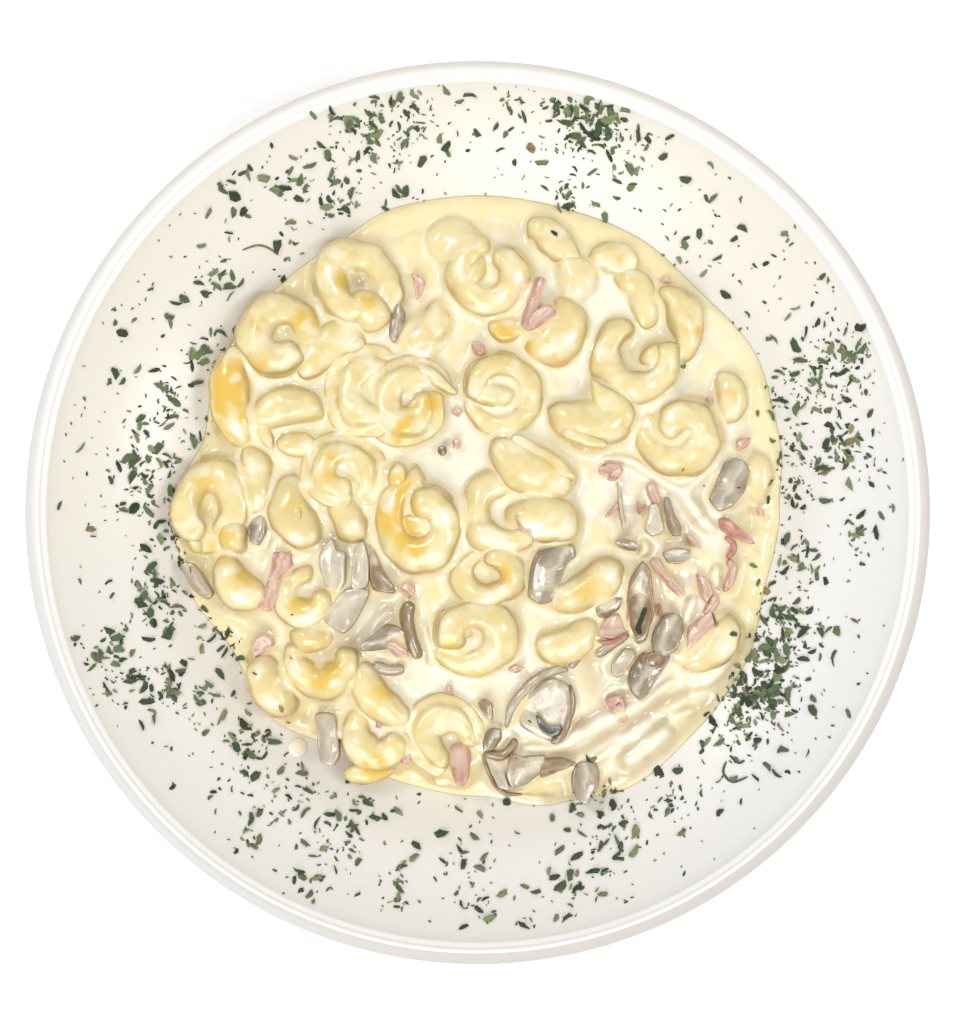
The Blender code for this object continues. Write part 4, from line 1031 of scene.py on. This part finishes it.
def pasta_paint():
    """Egg dough in a film of cream: tan at its steep edges, bare dough and painted shade, strong
    yellow where it is bare, with painted shade in hollows and a painted sheen on its tops.
    """
    paint = Paint("egg_dough_in_cream")
    slope, yolk, film, beige = map(paint.stored, ("slope", "yolk", "film", "beige"))
    cloud = paint.noise(5 * MM, 4.0, 0.55)
    fine = paint.noise(1.2 * MM, 3.0, 0.6)
    fresh = paint.mix(cloud.step(0.35, 0.65), "E8D393", "F1E1AC")
    # Painted shade where the beige patches lie, as in ring holes and hollows.
    dull = (beige + (cloud - 0.5) * 0.5).step(0.1, 0.9)
    body = paint.mix(dull * 0.8, fresh, "D8C287")
    patch = paint.noise(11 * MM, 3.0, 0.6)
    bare = (yolk + (patch - 0.5) * 0.9 + (fine - 0.5) * 0.3).step(0.2, 0.85)
    yolky = paint.mix(bare * 0.95, body, "E6BF4E")
    # Tan on steep dough: bare dough where the film runs off, and painted shade along the outlines.
    rim = slope.step(0.08, 0.6) * (0.5 + paint.noise(13 * MM, 1.0).step(0.35, 0.6) * 0.5)
    edged = paint.mix(rim, yolky, "BAA066")
    streak = paint.noise(8 * MM, 1.5)
    # White on the flat tops: a thin film of cream and a painted sheen.
    veil_and_sheen = streak.step(0.5, 0.68) * (1 - slope.step(0.1, 0.5)) * 0.8
    creamy = (film + (cloud - 0.5) * 1.2).step(0.4, 1.0).at_least(veil_and_sheen)
    paint.set(Base_Color=paint.mix(creamy * 0.85, edged, "FBF2D4"),
              Roughness=0.3 - cloud * 0.1, Coat_Weight=0.8, Coat_Roughness=0.14, IOR=1.42)
    paint.bump(paint.noise(2.2 * MM, 4.0, 0.55) + fine * 0.3, 0.35 * MM, 0.5)
    return paint


def facing(points, faces):
    """How far each point's surface is turned from straight up, from 0 to 1."""
    mesh = bpy.data.meshes.new("measure")
    mesh.from_pydata(points.tolist(), [], faces)
    normals = np.zeros(len(points) * 3, np.float32)
    mesh.vertex_normals.foreach_get("vector", normals)
    bpy.data.meshes.remove(mesh)
    return 1 - normals.reshape(-1, 3)[:, 2]


# ---------------------------------------------------------------- cream
CREAM_GRID = 296
CREAM_RIM = 0.9999
CREAM_UNDERSIDE = WELL_HEIGHT + 0.1 * MM
SHORE_START = 0.05 * MM
SHORE_RISE = 4.8 * MM
SHORE_RUN = 9 * MM
SHORE_POWER = 0.8
SHORE_SLOPE = 0.8
SHORE_GAP = 2 * MM
SHORE_STEEPEST = 3.0
BANK_WIDTH = 2.2 * MM
BANK_DROP = 0.8 * MM
CREAM_OVER_CORE = 0.7 * MM
WAVE_WIDTH = 5 * MM
WAVE_HEIGHT = 0.5 * MM
SMALL_WAVE_WIDTH = 2 * MM
SMALL_WAVE_HEIGHT = WAVE_HEIGHT / 3
COAT_SPREAD = 1.2 * MM
COAT_SOFTNESS = 2.2 * MM
COAT_DEPTH = 3.4 * MM
COAT_LEVEL = 0.8
COAT_LEAST = 0.02
RIDGE_WIDTH = 1.2 * MM
RIDGE_DROP = 0.35 * MM
RIDGE_GLINT = 0.5
RIDGE_DEPTH = 1 * MM
# How softly the cream's level, its banks, its ridges and its film over the dough meet.
LEVEL_BLEND = 0.8 * MM
BANK_BLEND = 0.35 * MM
RIDGE_BLEND = 0.6 * MM
COAT_BLEND = 0.8 * MM
# What the paint reads: how deep cream is thin, where it lies in hollows, which get a painted
# highlight, and where it meets the plate, where its painted shade fades; and how deep the film over
# dough and over toppings is.
THIN_DEPTH = 1.6 * MM
HOLLOW_WIDTH = 1.6 * MM
HOLLOW_DEPTH = 0.35 * MM
HOLLOW_GLINT = 0.5
HOLLOW_RUN = 12 * MM
HOLLOW_START = 0.4
SHORE_WIDTH = 3 * MM
SHORE_SHADE = 0.15
PASTA_FILM = 1.2 * MM
TOPPING_FILM = 2 * MM
THICKEST_FILM = 1.5


def square_to_disc(count):
    """Places of a square grid of points pulled evenly into a disc of radius 1."""
    line = np.linspace(-1, 1, count)
    a, b = np.meshgrid(line, line)
    wide = np.abs(a) > np.abs(b)
    radius = np.where(wide, a, b)
    with np.errstate(divide="ignore", invalid="ignore"):
        turn = np.where(wide, math.pi / 4 * b / a, math.pi / 2 - math.pi / 4 * a / b)
    turn = np.nan_to_num(turn)
    return radius * np.cos(turn), radius * np.sin(turn)


def cream_height(tops, ridges, coats):
    """Map of the cream's surface, from the tops of what lies in it and how deep it lies."""
    x, y = HeightMap.places()
    reach = np.hypot(x, y)
    inland = np.maximum(0.0, around(POOL_EDGE, np.arctan2(y, x)) - reach)
    rise = np.minimum(1.0, inland / SHORE_RUN)
    shore = plate_inside(reach) + SHORE_START + SHORE_RISE * (1 - (1 - rise) ** 2) ** SHORE_POWER
    beach = shore + np.maximum(0.0, inland - SHORE_RUN) * SHORE_SLOPE
    level = soft_min(core_top(x, y) + CREAM_OVER_CORE, beach, LEVEL_BLEND)
    solid = HeightMap(np.maximum(tops.values, level))
    bank = solid.blurred(BANK_WIDTH).values - BANK_DROP
    surface = soft_max(level, bank, BANK_BLEND)
    thick = HeightMap(np.maximum(ridges.values, level)).blurred(RIDGE_WIDTH).values - RIDGE_DROP
    surface = soft_max(surface, thick, RIDGE_BLEND)
    coat = coats.grown(COAT_SPREAD).blurred(COAT_SPREAD).values
    film = solid.grown(COAT_SPREAD).blurred(COAT_SOFTNESS).values
    film = film + (coat - COAT_LEVEL) * COAT_DEPTH
    surface = np.where(coat > COAT_LEAST, soft_max(surface, film, COAT_BLEND), surface)
    surface += uneven(WAVE_WIDTH, WAVE_HEIGHT) + uneven(SMALL_WAVE_WIDTH, SMALL_WAVE_HEIGHT)
    steepest = shore + np.maximum(0.0, inland - SHORE_GAP) * SHORE_STEEPEST
    return HeightMap(np.minimum(surface, steepest))


def uneven(width, height):
    """Field of soft waves of about that width and height."""
    draw = np.random.default_rng(round(width * 1e6))
    field = HeightMap(draw.standard_normal((HeightMap.SIZE, HeightMap.SIZE)))
    waves = field.blurred(width / 2).values
    return waves / waves.std() * height / 2


def soft_max(a, b, width):
    """The larger of two fields, rounded off where they cross."""
    gap = np.clip(0.5 + 0.5 * (a - b) / width, 0, 1)
    return b + (a - b) * gap + width * gap * (1 - gap)


def soft_min(a, b, width):
    """The smaller of two fields, rounded off where they cross."""
    return -soft_max(-a, -b, width)


def cream_paint():
    """Thick cream: white in the pools and in painted highlights, pale yellow where it is thin over
    the dough, with painted shade on its slopes and beige patches.
    """
    paint = Paint("thick_cream")
    white, slope, thin, beige = map(paint.stored, ("white", "slope", "thin", "beige"))
    cloud = paint.noise(9 * MM, 3.0)
    tint = (white + (cloud - 0.45) * 0.8).step(-0.1, 1.1)
    body = paint.mix(tint, "F3E4AF", "FCF6DF")
    # Painted shade and a beige tint where the beige patches and bands lie.
    dull = paint.mix((beige + (cloud - 0.5) * 0.5).step(0.1, 1.0), body, "CEBC98")
    over = paint.mix(thin * 0.7, dull, "EDD9A0")
    shade = paint.mix(tint, "DCC483", "DECFA4")
    paint.set(Base_Color=paint.mix(slope.step(0.1, 0.6), over, shade), Roughness=0.2,
              Coat_Weight=0.8, Coat_Roughness=0.1, IOR=1.42)
    paint.bump(paint.noise(3.5 * MM, 3.0), 0.3 * MM, 0.35)
    return paint


def patched(points, patches):
    """At each point, the strengths of soft round patches added up."""
    total = np.zeros(len(points))
    for x, y, radius, strength in patches:
        away = np.hypot(points[:, 0] - x * MM, points[:, 1] - y * MM)
        total += strength * np.exp(-(away / (radius * MM)) ** 2)
    return total


def banded(points, bands):
    """At each point, the strength of the strongest of soft bands along bent paths."""
    total = np.zeros(len(points))
    for width, strength, path in bands:
        stops = np.array(path) * MM
        for start, end in zip(stops, stops[1:]):
            run = end - start
            along = np.clip((points[:, :2] - start) @ run / (run @ run), 0, 1)
            away = np.hypot(*(points[:, :2] - start - along[:, None] * run).T)
            total = np.maximum(total, strength * np.exp(-(away / (width * MM)) ** 2))
    return total


def make_cream(surface, tops, ridges):
    """The pool's whole body: a fine top, sides down to the plate and a plain underside."""
    a, b = square_to_disc(CREAM_GRID)
    angle = np.arctan2(b, a)
    share = np.hypot(a, b)
    edge = around(POOL_EDGE, angle)
    x, y = share * edge * np.cos(angle), share * edge * np.sin(angle)
    z = surface.at(x, y)
    rim = share > CREAM_RIM
    z[rim] = plate_inside(np.hypot(x, y)[rim]) - SHORE_START
    top = np.stack([x, y, z], axis=-1).reshape(-1, 3)
    index = np.arange(len(top)).reshape(CREAM_GRID, CREAM_GRID)
    quads = np.stack([index[:-1, :-1], index[:-1, 1:], index[1:, 1:], index[1:, :-1]], axis=-1)
    faces = quads.reshape(-1, 4).tolist()
    sides = [index[0, :-1], index[:-1, -1], index[-1, :0:-1], index[:0:-1, 0]]
    border = np.concatenate(sides).tolist()
    low = top[border]
    low[:, :2] *= (WELL_RADIUS / np.hypot(low[:, 0], low[:, 1]))[:, None]
    low[:, 2] = CREAM_UNDERSIDE
    points = np.vstack([top, low])
    start, size = len(top), len(border)
    for i in range(size):
        j = (i + 1) % size
        faces.append((border[j], border[i], start + i, start + j))
    faces.append(tuple(range(start, start + size)))

    x, y, z = top.T
    inland = edge.reshape(-1) - np.hypot(x, y)
    # Painted highlight: cream in hollows beside the food is made whiter, as glints along its banks.
    hollow = surface.blurred(HOLLOW_WIDTH).at(x, y) - z
    hollow = np.clip(hollow / HOLLOW_DEPTH, 0, HOLLOW_GLINT)
    white = patched(top, WHITE_POOLS) + hollow * np.clip(inland / HOLLOW_RUN - HOLLOW_START, 0, 1)
    # Painted highlight along the cream's ridges.
    white += RIDGE_GLINT * (ridges.at(x, y) > z - RIDGE_DEPTH)
    slope = facing(points, faces)
    slope[:start] *= np.clip(inland / SHORE_WIDTH, SHORE_SHADE, 1)
    thin = np.clip(1 - (z - tops.at(x, y)) / THIN_DEPTH, 0, 1)
    zeros = np.zeros(size)
    stored = {
        "thin": np.concatenate([thin, zeros]),
        "white": np.concatenate([white, zeros]),
        "beige": patched(points, BEIGE_POOLS) + banded(points, BEIGE_BANDS),
        "slope": slope,
    }
    cream = make_piece("cream", points, faces, cream_paint(), stored)
    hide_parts("cream_sauce")


def make_cream_drop():
    """The one drop of cream that fell on the plate's wall."""
    x, y, width, height = (value * MM for value in CREAM_DROP)
    grid = bar_grid(width, width * DROP_WIDENING, height) + (x, y, 0)
    grid[..., 2] += plate_inside(np.hypot(grid[..., 0], grid[..., 1]))
    points, faces = closed_tube(grid)
    drop = make_piece("cream_drop", points, faces, cream_paint(),
                      {"white": np.full(len(points), DROP_WHITE)})
    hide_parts("cream_sauce")


def film_on(points, surface, depth):
    """How deep each point lies in a film of cream of that depth, from 0 for bare."""
    bare = points[:, 2] - surface.at(points[:, 0], points[:, 1])
    return np.clip(1 - bare / depth, 0, THICKEST_FILM)


def make_cappelletti(grids, surface):
    """Join the cappelletti into one piece and store how bare and how steep they are."""
    points, faces, _ = joined(grids)
    stored = {
        "yolk": patched(points, YOLK_PATCHES),
        "beige": patched(points, BEIGE_POOLS),
        "film": film_on(points, surface, PASTA_FILM),
        "slope": facing(points, faces),
    }
    pasta = make_piece("cappelletti", points, faces, pasta_paint(), stored)
    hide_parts("cappelletti_heap")


def joined(grids):
    """Points and faces of several tubes as one mesh, and the number of the tube of each point."""
    points, faces, owner = [], [], []
    count = 0
    for number, grid in enumerate(grids):
        some, sides = closed_tube(grid, count)
        points.append(some)
        faces += sides
        owner += [number] * len(some)
        count += len(some)
    return np.vstack(points), faces, np.array(owner)


def mushroom_paint():
    """Wet mushroom: bands of grey and pale flesh, brown skin at the edges, cream in its dips."""
    paint = Paint("wet_mushroom")
    tone, pale, side, slope, film = map(paint.stored, TOPPING_VALUES)
    cloud = paint.noise(5 * MM, 3.0, 0.55)
    fine = paint.noise(0.9 * MM, 3.0, 0.6)
    flesh = paint.ramp(side * 0.55 + 0.5 + (cloud - 0.5) * 0.7,
                       (0.04, "8F6C44"), (0.2, "A3927A"), (0.34, "988C78"), (0.5, "D3C8AF"),
                       (0.62, "ACA088"), (0.8, "827665"), (0.96, "8C6A42"))
    washed = paint.mix((pale + (cloud - 0.5) * 0.8).step(0.1, 1.2), flesh, "DCD2BB")
    skin = (tone + (cloud - 0.5) * 1.2).step(0.4, 1.2)
    brown = paint.mix(skin * 0.85, washed, "8E6C42")
    wet = paint.mix((0 - pale).step(0.0, 0.9), brown, "50534A")
    edge = (slope + (cloud - 0.5) * 0.5 + (fine - 0.5) * 0.2).step(0.2, 0.8)
    edged = paint.mix(edge * 0.88, wet, "806142")
    creamy = (film + (paint.noise(7 * MM, 2.0) - 0.5) * 2.2).step(0.3, 1.1)
    paint.set(Base_Color=paint.mix(creamy * 0.85, edged, "E6D9B9"), Roughness=0.2,
              Coat_Weight=1.0, Coat_Roughness=0.08)
    paint.bump(cloud + fine * 0.3, 0.7 * MM, 0.6)
    return paint


def ham_paint():
    """Boiled ham: bands of pale and deep pink with fine fibres, wet."""
    paint = Paint("wet_ham")
    tone, pale, side, slope, film = map(paint.stored, TOPPING_VALUES)
    cloud = paint.noise(3 * MM, 3.0, 0.6)
    fine = paint.noise(0.6 * MM, 2.0, 0.6)
    meat = paint.ramp(side * 0.5 + 0.5 + (cloud - 0.5) * 0.6 + (fine - 0.5) * 0.3,
                      (0.0, "C69686"), (0.3, "DFC2AC"), (0.45, "CFA08E"), (0.6, "E4CDB4"),
                      (0.8, "C08A7B"), (1.0, "D8B4A0"))
    deep = paint.mix((tone + (cloud - 0.5) * 1.2).step(0.2, 1.1), meat, "BA7A6D")
    edged = paint.mix((slope + (cloud - 0.5) * 0.5).step(0.3, 1.0) * 0.4, deep, "BA8072")
    creamy = (film + pale * 0.4 + (cloud - 0.5) * 1.8).step(0.4, 1.3)
    paint.set(Base_Color=paint.mix(creamy * 0.75, edged, "E8D3B4"), Roughness=0.25,
              Coat_Weight=0.5, Coat_Roughness=0.1)
    paint.bump(cloud + fine * 0.5, 0.4 * MM, 0.5)
    return paint


def sideways(points, owner):
    """How far each point lies to the long side of its own slice, from -1 to 1."""
    side = np.zeros(len(points))
    for number in range(owner[-1] + 1):
        mine = owner == number
        flat = points[mine, :2] - points[mine, :2].mean(0)
        narrow = np.linalg.eigh(flat.T @ flat)[1][:, 0]
        run = flat @ narrow
        side[mine] = run / np.abs(run).max()
    return side


def make_toppings(name, grids, rows, surface, paint, kind):
    """Join the slices of one kind and store their tone and how deep they dip in cream."""
    points, faces, owner = joined(grids)
    stored = {
        "tone": np.array([row.tone for row in rows])[owner],
        "pale": np.array([row.pale for row in rows])[owner],
        "film": film_on(points, surface, TOPPING_FILM),
        "slope": facing(points, faces),
        "side": sideways(points, owner),
    }
    piece = make_piece(name, points, faces, paint, stored)
    nodes = [f"{kind}_{number:02d}" for number in range(1, TOPPING_NODES[kind] + 1)]
    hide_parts(*nodes)


# ---------------------------------------------------------------- parsley
def parsley_paint():
    """Dried leaf, from dark to greyed green with a few brown bits."""
    paint = Paint("dried_parsley")
    place = paint.stored("tone") + (paint.noise(0.8 * MM, 2.0) - 0.5) * 0.25
    green = paint.ramp(place, (0.0, "33422C"), (0.45, "4E6043"), (0.8, "6D7F59"),
                       (0.95, "8A9568"), (1.0, "8A6A4A"))
    paint.set(Base_Color=green, Roughness=0.7, Specular_IOR_Level=0.25)
    return paint


def flake_mesh(x, y, size, ground, draw, start):
    """One thin, wavy, ragged leaf flake lying on the ground at x, y."""
    corners = draw.randint(*FLAKE_CORNERS)
    narrow = draw.uniform(*FLAKE_NARROWNESS)
    hook = draw.uniform(-FLAKE_HOOK, FLAKE_HOOK) / size
    half = FLAKE_THICKNESS / 2
    crown = size * FLAKE_CROWN
    outline = []
    for corner in range(corners):
        turn = math.tau * (corner + draw.uniform(-FLAKE_JITTER, FLAKE_JITTER)) / corners
        reach = size * draw.uniform(*FLAKE_REACH)
        along = reach * math.cos(turn)
        outline.append((along, reach * math.sin(turn) * narrow + hook * along ** 2,
                        size * draw.uniform(*FLAKE_WAVE)))
    points = [(0, 0, half + crown), (0, 0, crown - half)]
    points += [(px, py, pz + half) for px, py, pz in outline]
    points += [(px, py, pz - half) for px, py, pz in outline]
    upper = start + 2
    lower = upper + corners
    faces = []
    for corner in range(corners):
        after = (corner + 1) % corners
        faces.append((start, upper + corner, upper + after))
        faces.append((start + 1, lower + after, lower + corner))
        faces.append((upper + corner, lower + corner, lower + after, upper + after))
    level = float(ground(x, y))
    span = max(size * FLAKE_SPAN, 1 * MM)
    rise_x = (float(ground(x + span, y)) - level) / span
    rise_y = (float(ground(x, y + span)) - level) / span
    tip_y = -math.atan(rise_x) + draw.uniform(-FLAKE_TIP, FLAKE_TIP)
    tip_x = math.atan(rise_y) + draw.uniform(-FLAKE_TIP, FLAKE_TIP)
    lay = Matrix.Translation((x, y, level + crown + half))
    lay @= Matrix.Rotation(tip_y, 4, "Y") @ Matrix.Rotation(tip_x, 4, "X")
    lay @= Matrix.Rotation(draw.uniform(0, math.tau), 4, "Z")
    return [tuple(lay @ Vector(point)) for point in points], faces


def flake_size(draw, power):
    """A flake's size: the higher the power, the smaller most are."""
    least, most = FLAKE_SIZE
    return least + (most - least) * draw.random() ** power


def parsley_places(draw):
    """Place and size of every flake."""
    for x, y, size in FLAKES_ON_FOOD:
        yield x * MM, y * MM, size * MM
    for x, y, spread, count in PARSLEY_CLUMPS:
        for _ in range(count):
            px, py = (x + draw.gauss(0, spread)) * MM, (y + draw.gauss(0, spread)) * MM
            size = flake_size(draw, CLUMP_SIZE_POWER)
            angle = math.atan2(py, px)
            low = float(around(POOL_EDGE, angle)) - FLAKE_OVERLAP * draw.random() ** 2
            radius = max(math.hypot(px, py), low)
            if radius > FLAKE_RIM + RIM_OVERLAP:
                radius = FLAKE_RIM - abs(draw.gauss(0, RIM_SPREAD)) * MM
            yield radius * math.cos(angle), radius * math.sin(angle), size
    for _ in range(LOOSE_FLAKES):
        angle = draw.uniform(0, math.tau)
        shore = float(around(POOL_EDGE, angle))
        radius = shore + (FLAKE_RIM - shore) * draw.random() ** LOOSE_SPREAD_POWER
        yield radius * math.cos(angle), radius * math.sin(angle), flake_size(draw, LOOSE_SIZE_POWER)


def make_parsley(surface, tops):
    """Scatter the flakes on the plate's wall and on the food."""
    def ground(x, y):
        """Height of what is seen at a place: food, cream or the plate."""
        radius, angle = np.hypot(x, y), np.arctan2(y, x)
        food = np.maximum(surface.at(x, y), tops.at(x, y))
        return np.where(radius < around(POOL_EDGE, angle) - EDGE_GAP, food, plate_inside(radius))

    draw = random.Random(PARSLEY_SEED)
    points, faces, tones = [], [], []
    for x, y, size in parsley_places(draw):
        some, sides = flake_mesh(x, y, size, ground, draw, len(points))
        points += some
        faces += sides
        tones += [draw.random()] * len(some)
    for stalk, below in [(SPRIG, core_top)] + [(stalk, ground) for stalk in STALKS]:
        some, sides = closed_tube(strand_grid(stalk, below), len(points))
        points += some.tolist()
        faces += sides
        tones += [stalk.tone] * len(some)
    parsley = make_piece("parsley", points, faces, parsley_paint(),
                         {"tone": tones})
    for polygon in parsley.data.polygons:
        polygon.use_smooth = False
    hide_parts("dish")


# ---------------------------------------------------------------- floor, light and camera
def make_floor():
    """A wide plain pale floor under the plate."""
    mesh = bpy.data.meshes.new("floor")
    reach = FLOOR_REACH
    mesh.from_pydata([(-reach, -reach, 0), (reach, -reach, 0), (reach, reach, 0),
                      (-reach, reach, 0)], [], [(0, 1, 2, 3)])
    paint = Paint("pale_floor")
    paint.set(Base_Color=paint.mix(paint.noise(0.3, 2.0), "F6F6F6", "FAFAFA"), Roughness=0.8,
              Emission_Color=(1.0, 1.0, 1.0), Emission_Strength=FLOOR_GLOW)
    mesh.materials.append(paint.material)
    add("floor", mesh)


def make_light(name, place, size, power, colour):
    """A square soft light that faces the middle of the food."""
    lamp = bpy.data.lights.new(name, "AREA")
    lamp.shape = "SQUARE"
    lamp.size = size
    lamp.energy = power
    lamp.color = colour
    light = add(name, lamp)
    light.location = place
    light.rotation_euler = (LIGHT_TARGET - Vector(place)).to_track_quat("-Z", "Y").to_euler()


def make_lights():
    """An even white surrounding and the soft lights."""
    world = bpy.data.worlds.new("studio")
    world.use_nodes = True
    sky = world.node_tree.nodes["Background"]
    sky.inputs["Color"].default_value = (1.0, 1.0, 1.0, 1.0)
    sky.inputs["Strength"].default_value = SKY_STRENGTH
    bpy.context.scene.world = world
    for row in LIGHTS:
        make_light(*row)


def make_camera():
    """The camera looks almost straight down, a little from the front."""
    lens = bpy.data.cameras.new("camera")
    lens.sensor_fit = "HORIZONTAL"
    lens.sensor_width = CAMERA_SENSOR
    lens.lens = CAMERA_LENS
    camera = add("camera", lens)
    tip = CAMERA_ELEVATION
    camera.location = CAMERA_TARGET + CAMERA_DISTANCE * Vector((0, -math.cos(tip), math.sin(tip)))
    camera.rotation_euler = (math.pi / 2 - tip, 0, 0)
    bpy.context.scene.camera = camera


def build():
    """Make every piece of the scene, the light and the camera."""
    noise.seed_set(DOUGH_SEED)
    make_camera()
    make_lights()
    make_floor()
    make_plate()
    pasta = seeded(cappelletto_grid, CAPPELLETTI) + seeded(lobe_grid, LOBES, LOBE_SEED)
    mushrooms = seeded(slice_grid, MUSHROOM_SLICES, MUSHROOM_SEED)
    mushrooms += seeded(strip_grid, MUSHROOM_FOLDS, MUSHROOM_FOLD_SEED)
    ham = seeded(slice_grid, HAM_SLICES, HAM_SEED)
    ham += seeded(strip_grid, HAM_FOLDS, HAM_FOLD_SEED)
    tops, ridges, coats = HeightMap(), HeightMap(), HeightMap(0.0)
    for grid in pasta + mushrooms + ham:
        tops.press_grid(grid)
    for grid in seeded(strip_grid, CREAM_RIDGES, RIDGE_SEED):
        ridges.press_grid(grid)
    for grid, piece in zip(pasta, CAPPELLETTI + LOBES):
        shadow = grid.copy()
        shadow[..., 2] = piece.coat
        coats.press_grid(shadow)
    surface = cream_height(tops, ridges, coats)
    make_cream(surface, tops, ridges)
    make_cream_drop()
    make_cappelletti(pasta, surface)
    make_toppings("mushroom_slices", mushrooms, MUSHROOM_SLICES + MUSHROOM_FOLDS, surface,
                  mushroom_paint(), "mushroom")
    make_toppings("ham_strips", ham, HAM_SLICES + HAM_FOLDS, surface, ham_paint(), "ham")
    make_parsley(surface, tops)
    bpy.context.scene.view_settings.view_transform = "Standard"


build()
